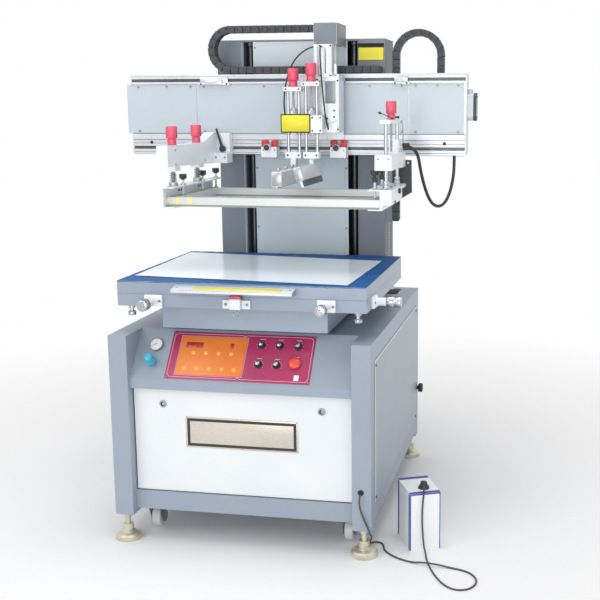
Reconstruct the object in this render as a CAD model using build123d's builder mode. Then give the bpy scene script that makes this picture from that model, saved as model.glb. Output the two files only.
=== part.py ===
import math
import os

from build123d import *

os.makedirs("parts", exist_ok=True)

# A vertical-lift flat-bed screen printing machine on a cabinet, in millimetres.
# X runs to the operator's right, Y to the rear and Z up from the floor.
# The origin is the floor point under the middle of the machine's overall box.
front = -512.0  # Y of the legs' front faces

# Clearances
bore_gap = 0.05  # radial, round shaft in its bore
slide_gap = 0.5  # flat faces that slide past each other
seat_gap = 0.3  # a piece at rest against what carries it

# Cabinet frame
cabinet_width = 900.0
cabinet_depth = 1080.0
cabinet_top = 730.0
leg_bottom = 97.0
leg_width = 65.0
rail_bottom = 112.0
rail_height = 66.0
rail_depth = 40.0
front_rail_inset = 32.0
top_rail_height = 65.0
cheek_depth = 145.0
tube_wall = 4.0
pad_thickness = 8.0  # plates over the casters
sheet = 2.0  # cover panels
apron_bottom = 547.0

# Console between the legs
slope_foot_y = 14.0  # behind the legs' front faces
slope_foot_z = 577.0
slope_head_y = 140.0
console_sheet = 3.0

# Front panel
panel_inset = 38.0
panel_thickness = 20.0
panel_gap = 2.0
tilt_pin_dia = 6.0
tilt_pin_in = 6.0  # from the panel's face and lower edge
lock_x = 277.0
lock_z = 490.0
lock_dia = 24.0

# Feet and casters
foot_inset = 30.0  # from the cabinet's side to the foot's middle
foot_y = 32.0
foot_dia = 92.0
foot_thickness = 24.0
foot_nut_dia = 36.0
foot_nut_height = 22.0
stud_dia = 18.0
stud_hole_depth = 62.0
stud_reach = 54.0  # into the leg
caster_inset = 100.0
caster_y = 118.0  # in from the front and rear faces
wheel_dia = 78.0
wheel_width = 30.0
wheel_clear = 6.0  # under the wheels while the machine stands on its feet
axle_dia = 10.0
fork_plate = 4.0
caster_trail = 24.0

# Table
pedestal_width = 576.0
pedestal_front = 90.0
pedestal_depth = 610.0
pedestal_bottom = 745.0
shell = 10.0  # walls of the pedestal, the table plate and the beam
riser_width = 500.0
riser_front = 150.0
riser_depth = 550.0
table_bottom = 825.0
table_width = 856.0
table_front = 45.0
table_depth = 710.0
base_thickness = 42.0
top_thickness = 42.5
table_top_z = 910.0
pocket_width = 660.0
pocket_depth = 500.0
pocket_sink = 16.0
cross_play = 10.0  # room round the cross slide
adjuster_x = 297.0
adjuster_z = 847.0
adjuster_side_y = 150.0
adjuster_plate = 60.0
adjuster_plate_height = 39.0
adjuster_plate_thickness = 12.0
barrel_dia = 26.0
barrel_length = 58.0
side_barrel_length = 36.0
adjuster_knob_dia = 38.0
adjuster_knob_length = 37.0
side_knob_length = 50.0
lock_block_x = -8.0
lock_plate_width = 94.0
lock_block_width = 37.0
lock_pin_dia = 10.0
ledge_left = -221.0
ledge_width = 413.0
ledge_reach = 45.0
level_screw_x = 393.0

# Column
column_width = 684.0
column_front = 890.0
column_depth = 185.0
column_top = 1745.0
pillar_width = 110.0
column_wall = 6.0
cap_thickness = 8.0
cover_width = 384.0
cover_proud = 3.0
shaft_x = 212.0
shaft_y = 925.0
shaft_dia = 25.0

# Beam that carries the printing head
beam_width = 1344.0
beam_front = 782.0
beam_depth = 86.0
beam_bottom = 1300.0
beam_top = 1608.0
guide_bottom = 1357.0  # lower guide rail of the carriage
guide_height = 21.0
guide_proud = 8.0
groove_z = 1324.0  # middle of the clamping groove of arms and stops
groove_height = 12.0
groove_depth = 9.0
upper_groove_z = 1586.0
head_plate_width = 470.0
head_plate_thickness = 16.0
head_plate_bottom = 1330.0
head_plate_height = 250.0
bracket_width = 32.0
bracket_reach = 64.0

# Beam covers
cover_bottom = 1380.0
cover_top = 1572.0
centre_cover_left = -393.0
centre_cover_right = 449.0
side_cover_overhang = 16.0  # past the beam's left end
side_cover_short = 10.0  # of the beam's right end
end_cover_reach = 36.0
end_cover_bottom = 1430.0
end_cover_height = 104.0
end_cover_depth = 64.0

# Clamp arms and channels that hold the screen frame
left_arm_inner = -303.0
left_arm_width = 40.0
left_arm_front = 225.0
arm_rear = 772.0
left_arm_top = 1352.0
left_arm_top_rear = 1386.0
left_arm_bottom = 1281.0
left_arm_bottom_rear = 1266.0
left_block_width = 52.0
left_block_front = 705.0
left_block_bottom = 1268.0
left_block_top = 1383.0
lever_z = 1322.0
lever_length = 88.0
lever_dia = 11.0
right_arm_inner = 408.0
right_arm_width = 60.0
right_arm_front = 300.0
right_arm_bottom = 1270.0
right_arm_height = 52.0
arm_knob_dia = 40.0
arm_knob_height = 66.0
left_knob_ys = (320.0, 565.0)
spindle_dia = 14.0
collar_dia = 24.0
channel_wall = 4.0
channel_bottom = 1134.0
channel_height = 73.0
off_contact = 3.0  # travel of the channels either way
left_channel_front = 262.0
left_channel_length = 520.0
right_channel_front = 290.0
right_channel_length = 235.0
channel_lip = 44.0
right_channel_lip = 42.0
thumb_dia = 8.0
thumb_head = 17.0
right_channel_top = 1205.0
right_thumb_ys = (330.0, 470.0)
right_block_rear = 530.0
right_neck_width = 22.0
right_rod_x = 440.0
right_rod_front = 342.0
right_rod_rear = 580.0
right_rod_dia = 13.0
right_rod_top = 1427.0
right_cross_height = 13.0
right_knob_y = 450.0
hose_fitting_y = 596.0
hose_fitting_z = 1340.0
right_knob_height = 64.0
right_knob_dia = 37.0

# Screen frame
screen_left = -339.0
screen_width = 766.0
screen_front = 288.0
screen_depth = 455.0
screen_bar = 34.0
screen_height = 32.0
mesh_thickness = 1.0

# Carriage of the squeegee and the flood bar
rod_y = 650.0
rod_dia = 12.0
rod_spacing = 42.0
flood_x = 34.0
squeegee_x = 103.0
unit_width = 68.0
cross_depth = 36.0
cross_height = 16.0
flood_cross_bottom = 1541.0
squeegee_cross_bottom = 1560.0
carriage_left = -10.0
carriage_right = 203.0
guide_block_front = 625.0
guide_block_rear = 690.0
guide_block_bottom = 1388.0
guide_block_top = 1452.0
guide_block_right = 150.0
casting_wall = 8.0
back_plate_rear = 764.0
carriage_top = 1592.0
window_side = 14.0  # from the casting's edges to its window
window_width = 41.0
window_height = 82.0
boss_top = 1466.0
boss_dia = 32.0
red_knob_dia = 42.0
red_knob_height = 68.0
screw_dia = 10.0
screw_tip = 1522.0  # stays above the boss when the unit drops
cylinder_x = 151.0
cylinder_y = 705.0
cylinder_side = 50.0
slim_x = 113.0
slim_y = 694.0
slim_dia = 21.0
chain_box_left = 105.0
chain_box_right = 194.0
chain_box_front = 690.0
chain_box_bottom = 1714.0
chain_box_height = 79.0
post_left = 120.0
post_right = 180.0
post_front = 736.0
rod_foot_z = 1292.0
blade_start = 400.0
blade_length = 300.0
flood_bar_width = 37.0
flood_bar_bottom = 1203.0
flood_bar_height = 52.0
holder_width = 26.0
holder_height = 50.0
holder_tilt = 18.6
holder_pivot_z = 1282.0
pivot_drop = 11.0  # from the pivot down to the holder's top
pivot_dia = 8.0
blade_thickness = 9.0
blade_reach = 24.0

# Limit stops of the stroke
left_stop_x = -91.0
right_stop_x = 184.0
stop_width = 62.0
stop_front = 738.0

# Drag chains
chain_width = 44.0
chain_thickness = 27.0
chain_y = 806.0
chain_radius = 78.0  # middle line of the bend
chain_bend_x = -260.0
chain_lie = 4.0
chain_right = 350.0
lift_chain_aside = 129.0  # from the column's side to the middle of the bend
lift_chain_x = column_width / 2 + lift_chain_aside
lift_chain_radius = 88.0
lift_chain_y = 893.0
lift_chain_bend_z = 1678.0
lift_chain_foot = 1020.0
lift_chain_end = 1490.0

# Control panel on the slope
control_left = -264.0
control_width = 504.0
control_low = 10.0  # up the slope from its foot
control_height = 178.0
control_plate = 2.0
keypad_left = -229.0
keypad_width = 233.0
keypad_low = 27.0
keypad_height = 143.0
knob_dia = 26.0
knob_height = 20.0
knob_neck_dia = 8.0
knob_spots = ((56.0, 146.0), (120.0, 146.0), (184.0, 146.0), (56.0, 74.0), (119.0, 74.0))
stop_spot = (182.0, 82.0)
stop_dia = 42.0
stop_travel = 5.0
gauge_spot = (-314.0, 131.0)
gauge_dia = 46.0
regulator_spot = (-318.0, 66.0)
regulator_dia = 34.0

# Foot switch in its carton, and its cord
box_corner = (567.0, 82.0)  # nearest lower corner, depth from the legs' front
box_width = 107.0
box_depth = 158.0
box_height = 205.0
box_turn = 24.0
gland_dia = 34.0
gland_height = 24.0
gland_spot = (61.0, 46.0)
cord_dia = 6.0
cord_hole_inset = 35.0
cord_hole_z = 232.0
cord_hole_depth = 18.0
arm_hose_dia = 12.0
carriage_hose_dia = 6.0


def block(x, y, z, mode=Mode.ADD):
    """A box from the low and high ends along each axis, into the part being built."""
    centre = ((x[0] + x[1]) / 2, (y[0] + y[1]) / 2, (z[0] + z[1]) / 2)
    with Locations(centre):
        Box(x[1] - x[0], y[1] - y[0], z[1] - z[0], mode=mode)


def upright(x, y, low, high, dia, mode=Mode.ADD):
    """A round bar or bore along Z."""
    with Locations((x, y, (low + high) / 2)):
        Cylinder(dia / 2, high - low, mode=mode)


def lying_y(x, z, near, far, dia, mode=Mode.ADD):
    """A round bar or bore along Y."""
    with Locations((x, (near + far) / 2, z)):
        Cylinder(dia / 2, far - near, rotation=(90, 0, 0), mode=mode)


def lying_x(y, z, left, right, dia, mode=Mode.ADD):
    """A round bar or bore along X."""
    with Locations(((left + right) / 2, y, z)):
        Cylinder(dia / 2, right - left, rotation=(0, 90, 0), mode=mode)


def side_profile(points, left, width, mode=Mode.ADD):
    """A (Y, Z) outline drawn from the side and extruded along X from its left end."""
    with BuildSketch(Plane.YZ.offset(left)) as outline:
        with BuildLine():
            Polyline(*points, close=True)
        make_face()
    extrude(outline.sketch, amount=width, mode=mode)


def keep(piece, label):
    """Names the finished piece and writes its file."""
    piece.part.label = label
    export_step(piece.part, f"parts/{label}.step")


half_width = cabinet_width / 2
foot_x = half_width - foot_inset
caster_x = half_width - caster_inset
leg_inner = half_width - leg_width
panel_half = leg_inner - panel_gap * 2
rear = front + cabinet_depth
rail_top = rail_bottom + rail_height
top_rail_bottom = cabinet_top - top_rail_height
panel_face = front + panel_inset
cord_hole_x = half_width - cord_hole_inset
panel_low = rail_top + 3
tilt_pin_y = panel_face + tilt_pin_in
tilt_pin_z = panel_low + tilt_pin_in

# Cabinet frame: four legs, bottom rails, top rails and the cheeks beside the console
with BuildPart() as cabinet_frame:
    for side in (-1, 1):
        outer = side * half_width
        inner = side * leg_inner
        across = (min(outer, inner), max(outer, inner))
        for leg_front in (front, rear - leg_width):
            block(across, (leg_front, leg_front + leg_width), (leg_bottom, top_rail_bottom))
        block(across, (front, rear), (top_rail_bottom, cabinet_top))
        block(across, (front + leg_width, front + cheek_depth), (apron_bottom, top_rail_bottom))
        low_rail = sorted((outer, side * (half_width - rail_depth)))
        block(low_rail, (front + leg_width, rear - leg_width), (rail_bottom, rail_top))
        for y in (front + foot_y, rear - foot_y):
            upright(
                side * foot_x,
                y,
                leg_bottom,
                leg_bottom + stud_hole_depth,
                stud_dia + 2 * bore_gap,
                mode=Mode.SUBTRACT,
            )
    inside = (-leg_inner, leg_inner)
    front_rail_y = front + front_rail_inset
    block(inside, (front_rail_y, front_rail_y + rail_depth), (rail_bottom, rail_top))
    block(inside, (rear - rail_depth, rear), (rail_bottom, rail_top))
    block(inside, (rear - rail_depth, rear), (top_rail_bottom, cabinet_top))
    bearer_top = cabinet_top - console_sheet
    for bearer_y in (front + column_front, front + riser_front):
        block(inside, (bearer_y, bearer_y + rail_depth), (top_rail_bottom, bearer_top))
    for side in (-1, 1):
        pad_x = sorted((side * (caster_x - rail_depth), side * (half_width - rail_depth + 1)))
        for y in (front + caster_y, rear - caster_y):
            block(pad_x, (y - rail_depth, y + rail_depth), (rail_top - pad_thickness, rail_top))
        # the legs and top rails are tubes, closed above the studs
        tube_x = sorted((side * (half_width - tube_wall), side * (leg_inner + tube_wall)))
        for leg_front in (front, rear - leg_width):
            tube_y = (leg_front + tube_wall, leg_front + leg_width - tube_wall)
            tube_z = (cord_hole_z + 30, top_rail_bottom - tube_wall)
            block(tube_x, tube_y, tube_z, mode=Mode.SUBTRACT)
        tube_y = (front + tube_wall, rear - tube_wall)
        tube_z = (top_rail_bottom + tube_wall, cabinet_top - tube_wall)
        block(tube_x, tube_y, tube_z, mode=Mode.SUBTRACT)
    hole_end = front + cord_hole_depth
    lying_y(cord_hole_x, cord_hole_z, front, hole_end, cord_dia + 4, mode=Mode.SUBTRACT)
    # pins that the front panel tips on
    lying_x(tilt_pin_y, tilt_pin_z, -leg_inner - 1, -panel_half + sheet + 3, tilt_pin_dia)
    lying_x(tilt_pin_y, tilt_pin_z, panel_half - sheet - 3, leg_inner + 1, tilt_pin_dia)
keep(cabinet_frame, "cabinet_frame")

# Side and rear cover panels and the shelf inside
panel_y = (front + leg_width - 3, rear - leg_width + 3)
panel_z = (rail_top + 4, top_rail_bottom)
with BuildPart() as cabinet_panels:
    block((half_width, half_width + sheet), panel_y, panel_z)
    block((-half_width - sheet, -half_width), panel_y, panel_z)
    block((-leg_inner - 15, leg_inner + 15), (rear, rear + sheet), panel_z)
    block(
        (-leg_inner, leg_inner),
        (front_rail_y + rail_depth, rear - rail_depth),
        (rail_top, rail_top + sheet),
    )
keep(cabinet_panels, "cabinet_panels")

# Console: one folded sheet with apron, slope and deck
slope_run = slope_head_y - slope_foot_y
slope_rise = cabinet_top - slope_foot_z
slope_length = math.hypot(slope_run, slope_rise)
slope_dir = (slope_run / slope_length, slope_rise / slope_length)
deck_rear = front + column_front - seat_gap
with BuildPart() as console_panel:
    fold_in = console_sheet * math.tan(math.atan2(slope_run, slope_rise) / 2)
    deck_in = console_sheet * math.tan(math.atan2(slope_rise, slope_run) / 2)
    side_profile(
        [
            (front + slope_foot_y, apron_bottom),
            (front + slope_foot_y, slope_foot_z),
            (front + slope_head_y, cabinet_top),
            (deck_rear, cabinet_top),
            (deck_rear, cabinet_top - console_sheet),
            (front + slope_head_y + deck_in, cabinet_top - console_sheet),
            (front + slope_foot_y + console_sheet, slope_foot_z - fold_in),
            (front + slope_foot_y + console_sheet, apron_bottom),
        ],
        -leg_inner,
        2 * leg_inner,
    )
    # the slope's own plane: local x along X, local y up the slope, normal out of it
    slope_plane = Plane(
        origin=(0, front + slope_foot_y, slope_foot_z),
        x_dir=(1, 0, 0),
        z_dir=(0, -slope_dir[1], slope_dir[0]),
    )
    with BuildSketch(slope_plane):
        with Locations(*knob_spots, stop_spot):
            Circle(knob_neck_dia / 2 + 1)
    extrude(amount=-console_sheet * 1.5, mode=Mode.SUBTRACT)
keep(console_panel, "console_panel")
control_face = slope_plane.offset(control_plate)


def slope_disc(plane, spot, dia, height):
    """A round boss standing on a plane of the slope."""
    with BuildSketch(plane) as disc:
        with Locations(spot):
            Circle(dia / 2)
    extrude(disc.sketch, amount=height)


# Control plate with the raised keypad, and the pressure gauge beside it
key_dia = 15.0
key_rows = ((keypad_left + 51, 109.0, 4, 44.5), (keypad_left + 30, 51.0, 5, 43.5))
with BuildPart() as control_panel:
    with BuildSketch(slope_plane):
        with Locations((control_left + control_width / 2, control_low + control_height / 2)):
            Rectangle(control_width, control_height)
        with Locations(*knob_spots, stop_spot):
            Circle(knob_neck_dia / 2 + 1, mode=Mode.SUBTRACT)
    extrude(amount=control_plate)
    with BuildSketch(control_face):
        with Locations((keypad_left + keypad_width / 2, keypad_low + keypad_height / 2)):
            Rectangle(keypad_width, keypad_height)
    extrude(amount=1)
    for start, up, count, pitch in key_rows:
        for i in range(count):
            slope_disc(control_face.offset(1), (start + i * pitch, up), key_dia, 0.8)
    slope_disc(slope_plane, gauge_spot, gauge_dia, 14)
keep(control_panel, "control_panel")

# Rotary switches and potentiometer knobs
for number, spot in enumerate(knob_spots, start=1):
    with BuildPart() as console_knob:
        slope_disc(slope_plane, spot, knob_neck_dia, control_plate + seat_gap * 4)
        skirt = control_face.offset(seat_gap)
        with BuildSketch(skirt):
            with Locations(spot):
                Circle(knob_dia / 2)
        extrude(amount=knob_height, taper=6)
        with BuildSketch(skirt.offset(knob_height)):
            with Locations(spot):
                Rectangle(4, knob_dia * 0.66)
        extrude(amount=3)
    keep(console_knob, f"console_knob_{number}")

# Emergency stop button on its stem
with BuildPart() as stop_button:
    slope_disc(control_face.offset(-1), stop_spot, knob_neck_dia, stop_travel + 8)
    slope_disc(control_face.offset(stop_travel + seat_gap), stop_spot, stop_dia, 14)
    outward = Axis(origin=(0, 0, 0), direction=slope_plane.z_dir)
    fillet(stop_button.faces().sort_by(outward)[-1].edges(), 6)
keep(stop_button, "stop_button")

# Air pressure regulator knob
with BuildPart() as regulator_knob:
    regulator_base = slope_plane.offset(seat_gap)
    slope_disc(regulator_base, regulator_spot, regulator_dia * 0.7, 12)
    slope_disc(regulator_base.offset(12), regulator_spot, regulator_dia, 10)
    slope_disc(regulator_base.offset(22), regulator_spot, regulator_dia * 0.86, 26)
keep(regulator_knob, "regulator_knob")

# Front panel: a tray that tips forward on its lower edge, with two quarter-turn locks
panel_high = apron_bottom - panel_gap
with BuildPart() as front_panel:
    block((-panel_half, panel_half), (panel_face, panel_face + panel_thickness), (panel_low, panel_high))
    inner_face = panel_face + sheet
    block(
        (-panel_half + sheet, panel_half - sheet),
        (inner_face, panel_face + panel_thickness),
        (panel_low + sheet, panel_high - sheet),
        mode=Mode.SUBTRACT,
    )
    lying_x(
        tilt_pin_y,
        tilt_pin_z,
        -panel_half,
        panel_half,
        tilt_pin_dia + 2 * bore_gap,
        mode=Mode.SUBTRACT,
    )
    for side in (-1, 1):
        lying_y(
            side * lock_x,
            lock_z,
            panel_face,
            inner_face,
            lock_dia * 0.6 + 2 * bore_gap,
            mode=Mode.SUBTRACT,
        )
keep(front_panel, "front_panel")

for side, label in ((-1, "cam_lock_left"), (1, "cam_lock_right")):
    with BuildPart() as cam_lock:
        x = side * lock_x
        lying_y(x, lock_z, panel_face - 5, panel_face - seat_gap, lock_dia)
        lying_y(x, lock_z, panel_face - seat_gap, inner_face + 9, lock_dia * 0.6)
        slot_y = (panel_face - 6, panel_face - 3)
        block((x - 2, x + 2), slot_y, (lock_z - 8, lock_z + 8), mode=Mode.SUBTRACT)
        block((x - 7, x + 7), (inner_face + 6, inner_face + 9), (lock_z - 7, lock_z + 26))
    keep(cam_lock, label)

# Levelling feet: stud, lock nut and round pad
for side, end, label in (
    (-1, 0, "foot_front_left"),
    (1, 0, "foot_front_right"),
    (-1, 1, "foot_rear_left"),
    (1, 1, "foot_rear_right"),
):
    foot_centre = (side * foot_x, front + foot_y if end == 0 else rear - foot_y)
    with BuildPart() as foot:
        with BuildSketch(Plane(origin=(*foot_centre, 0), x_dir=(1, 0, 0), z_dir=(0, -1, 0))):
            with BuildLine():
                pad = foot_dia / 2
                Polyline(
                    (0, 0),
                    (pad - 3, 0),
                    (pad, 4),
                    (pad, foot_thickness - 8),
                    (pad - 6, foot_thickness - 2),
                    (foot_nut_dia / 2 + 8, foot_thickness + 2),
                    (foot_nut_dia / 2, foot_thickness + 8),
                    (foot_nut_dia / 2, foot_thickness + 8 + foot_nut_height),
                    (stud_dia / 2, foot_thickness + 8 + foot_nut_height),
                    (stud_dia / 2, leg_bottom + stud_reach),
                    (0, leg_bottom + stud_reach),
                    close=True,
                )
            make_face()
        revolve(axis=Axis(origin=(*foot_centre, 0), direction=(0, 0, 1)))
        nut_low = leg_bottom - 16
        with BuildSketch(Plane(origin=(*foot_centre, nut_low))):
            RegularPolygon(stud_dia * 0.9, 6)
        extrude(amount=12)
    keep(foot, label)

# Casters: forks under their pads, wheels on axles
wheel_z = wheel_clear + wheel_dia / 2
fork_top = rail_top - pad_thickness - seat_gap
fork_gap = wheel_width + 6 * slide_gap


def add_fork(x, y, trail):
    """Swivel race, king pin and two cheeks of a caster fork."""
    bridge_z = wheel_clear + wheel_dia + 6
    upright(x, y, fork_top - 10, fork_top, 58)
    upright(x, y, bridge_z, fork_top - 10, 34)
    for cheek in (-1, 1):
        inner_x = x + cheek * fork_gap / 2
        outer_x = inner_x + cheek * fork_plate
        side_profile(
            [
                (y - 20, bridge_z),
                (y + trail - 12, wheel_z - 10),
                (y + trail + 12, wheel_z - 10),
                (y + 20, bridge_z),
                (y + 20, bridge_z + 5),
                (y - 20, bridge_z + 5),
            ],
            min(inner_x, outer_x),
            fork_plate,
        )
    reach = fork_gap / 2 + fork_plate
    block((x - reach, x + reach), (y - 20, y + 20), (bridge_z, bridge_z + 5))
    lying_x(y + trail, wheel_z, x - reach - 2, x + reach + 2, axle_dia)


def add_wheel(x, y):
    """A tyred wheel with a bore for its axle."""
    lying_x(y, wheel_z, x - wheel_width / 2, x + wheel_width / 2, wheel_dia)
    fillet(edges().filter_by(GeomType.CIRCLE).group_by(SortBy.RADIUS)[-1], 5)
    lying_x(y, wheel_z, x - wheel_width / 2 - 1, x + wheel_width / 2 + 1, 24)
    lying_x(
        y,
        wheel_z,
        x - wheel_width,
        x + wheel_width,
        axle_dia + 2 * bore_gap,
        mode=Mode.SUBTRACT,
    )


front_caster_y = front + caster_y
rear_caster_y = rear - caster_y
for side, word in ((-1, "left"), (1, "right")):
    x = side * caster_x
    with BuildPart() as caster_fork:
        add_fork(x, front_caster_y, caster_trail)
    keep(caster_fork, f"caster_fork_front_{word}")
    with BuildPart() as wheel:
        add_wheel(x, front_caster_y + caster_trail)
    keep(wheel, f"caster_wheel_front_{word}")
    with BuildPart() as wheel:
        add_wheel(x, rear_caster_y)
    keep(wheel, f"caster_wheel_rear_{word}")
with BuildPart() as rear_forks:
    for side in (-1, 1):
        add_fork(side * caster_x, rear_caster_y, 0.0)
keep(rear_forks, "caster_forks_rear")

# Pedestal and lower table layer with the brackets of the fine adjustment
base_top = table_bottom + base_thickness
table_y = (front + table_front, front + table_front + table_depth)
table_mid_y = (table_y[0] + table_y[1]) / 2
half_table = table_width / 2
plate_face = table_y[0] - adjuster_plate_thickness
plate_low = adjuster_z - adjuster_plate_height / 2
plate_high = adjuster_z + adjuster_plate_height / 2
side_y = front + adjuster_side_y
lock_x_range = (lock_block_x - lock_block_width / 2, lock_block_x + lock_block_width / 2)
lock_top = 864.0
with BuildPart() as table_pedestal:
    riser_y = (front + riser_front, front + riser_front + riser_depth)
    pedestal_y = (front + pedestal_front, front + pedestal_front + pedestal_depth)
    block((-riser_width / 2, riser_width / 2), riser_y, (cabinet_top, pedestal_bottom))
    block((-pedestal_width / 2, pedestal_width / 2), pedestal_y, (pedestal_bottom, table_bottom))
    block((-half_table, half_table), table_y, (table_bottom, base_top))
    block(
        (-pocket_width / 2, pocket_width / 2),
        (table_mid_y - pocket_depth / 2, table_mid_y + pocket_depth / 2),
        (base_top - pocket_sink, base_top),
        mode=Mode.SUBTRACT,
    )
    # the pedestal is a closed welded box
    block(
        (-pedestal_width / 2 + shell, pedestal_width / 2 - shell),
        (pedestal_y[0] + shell, pedestal_y[1] - shell),
        (pedestal_bottom + shell, table_bottom - 2),
        mode=Mode.SUBTRACT,
    )
    for side in (-1, 1):
        x = side * adjuster_x
        across = (x - adjuster_plate / 2, x + adjuster_plate / 2)
        block(across, (plate_face, table_y[0]), (plate_low, plate_high))
        lying_y(x, adjuster_z, plate_face - barrel_length, plate_face, barrel_dia)
        for y in (table_y[0] + 35, table_mid_y, table_y[1] - 35):
            upright(side * level_screw_x, y, table_bottom - 24, table_bottom, 12)
            upright(side * level_screw_x, y, table_bottom - 34, table_bottom - 24, 26)
            upright(side * level_screw_x, y, table_bottom - 9, table_bottom, 22)
    side_plate_x = (half_table, half_table + adjuster_plate_thickness)
    side_plate_y = (side_y - adjuster_plate / 2, side_y + adjuster_plate / 2)
    block(side_plate_x, side_plate_y, (plate_low, plate_high))
    barrel_end = side_plate_x[1] + side_barrel_length
    lying_x(side_y, adjuster_z, side_plate_x[1], barrel_end, barrel_dia)
    lock_plate_x = (lock_block_x - lock_plate_width / 2, lock_block_x + lock_plate_width / 2)
    block(lock_plate_x, (table_y[0] - 8, table_y[0]), (829, 857))
    block(lock_x_range, (table_y[0] - 26, table_y[0] - 8), (829, lock_top))
    lock_bore = lock_pin_dia + 2 * bore_gap
    upright(lock_block_x, table_y[0] - 17, 828, lock_top + 1, lock_bore, mode=Mode.SUBTRACT)
keep(table_pedestal, "table_pedestal")

# Cross slide in the pocket, and the table plate with its register ledge
with BuildPart() as cross_slide:
    block(
        (-pocket_width / 2 + cross_play, pocket_width / 2 - cross_play),
        (table_mid_y - pocket_depth / 2 + cross_play, table_mid_y + pocket_depth / 2 - cross_play),
        (base_top - pocket_sink + seat_gap, base_top + 0.5 - seat_gap),
    )
keep(cross_slide, "cross_slide")

plate_bottom = table_top_z - top_thickness
ledge_y = table_y[0]
with BuildPart() as table_top:
    block((-half_table, half_table), table_y, (plate_bottom, table_top_z))
    # vacuum chamber inside the plate
    block(
        (-half_table + 2 * shell, half_table - 2 * shell),
        (table_y[0] + 2 * shell, table_y[1] - 2 * shell),
        (plate_bottom + shell, table_top_z - shell),
        mode=Mode.SUBTRACT,
    )
    side_profile(
        [
            (ledge_y, table_top_z - 10),
            (ledge_y - ledge_reach, table_top_z - 18),
            (ledge_y - ledge_reach, table_top_z - 28),
            (ledge_y, table_top_z - 32),
        ],
        ledge_left,
        ledge_width,
    )
keep(table_top, "table_top")

# Knobs of the fine adjustment and the table's lock
for side, word in ((-1, "left"), (1, "right")):
    with BuildPart() as adjust_knob:
        x = side * adjuster_x
        near = plate_face - barrel_length - seat_gap - adjuster_knob_length
        lying_y(x, adjuster_z, near, near + adjuster_knob_length, adjuster_knob_dia)
        chamfer(edges().filter_by(GeomType.CIRCLE), 2)
    keep(adjust_knob, f"table_knob_{word}")
with BuildPart() as adjust_knob:
    knob_start = barrel_end + seat_gap
    lying_x(side_y, adjuster_z, knob_start, knob_start + side_knob_length, adjuster_knob_dia)
    chamfer(edges().filter_by(GeomType.CIRCLE), 2)
keep(adjust_knob, "table_knob_side")

with BuildPart() as lock_pin:
    pin_y = table_y[0] - 17
    upright(lock_block_x, pin_y, 819, lock_top + seat_gap, lock_pin_dia)
    block(lock_x_range, (pin_y - 8, pin_y + 8), (lock_top + seat_gap, lock_top + 10))
    with Locations(Plane(origin=(lock_block_x, pin_y, 811), x_dir=(1, 0, 0), z_dir=(0, -1, 0))):
        Torus(9, 1.5)
keep(lock_pin, "table_lock_pin")

# Column: two box pillars, back, cap and foot, with the guide shafts
half_column = column_width / 2
pillar_inner = half_column - pillar_width
column_y = (front + column_front, front + column_front + column_depth)
with BuildPart() as column_frame:
    for side in (-1, 1):
        across = sorted((side * half_column, side * pillar_inner))
        block(across, column_y, (cabinet_top, column_top - cap_thickness))
        block(
            (across[0] + column_wall, across[1] - column_wall),
            (column_y[0] + column_wall, column_y[1] - column_wall),
            (cabinet_top + column_wall, column_top - cap_thickness - column_wall),
            mode=Mode.SUBTRACT,
        )
        x = side * shaft_x
        upright(x, front + shaft_y, cabinet_top + cap_thickness, column_top - cap_thickness, shaft_dia)
    back = (column_y[1] - column_wall, column_y[1])
    block((-pillar_inner, pillar_inner), back, (cabinet_top, column_top - cap_thickness))
    block((-pillar_inner, pillar_inner), column_y, (cabinet_top, cabinet_top + cap_thickness))
    block((-half_column, half_column), column_y, (column_top - cap_thickness, column_top))
    rib = cover_width / 2 - 20
    for side in (-1, 1):
        across = sorted((side * rib, side * (rib - column_wall)))
        rib_z = (cabinet_top + cap_thickness, column_top - cap_thickness)
        block(across, (column_y[0], column_y[1] - column_wall), rib_z)
    chain_left = lift_chain_x - lift_chain_radius - chain_thickness / 2
    chain_foot_z = (lift_chain_foot + 10, lift_chain_foot + 70)
    block((half_column, chain_left - seat_gap), (column_y[0] + 4, column_y[0] + 30), chain_foot_z)
keep(column_frame, "column_frame")

with BuildPart() as column_cover:
    block(
        (-cover_width / 2, cover_width / 2),
        (column_y[0] - cover_proud, column_y[0]),
        (cabinet_top + cap_thickness, column_top - cap_thickness),
    )
keep(column_cover, "column_cover")

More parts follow.
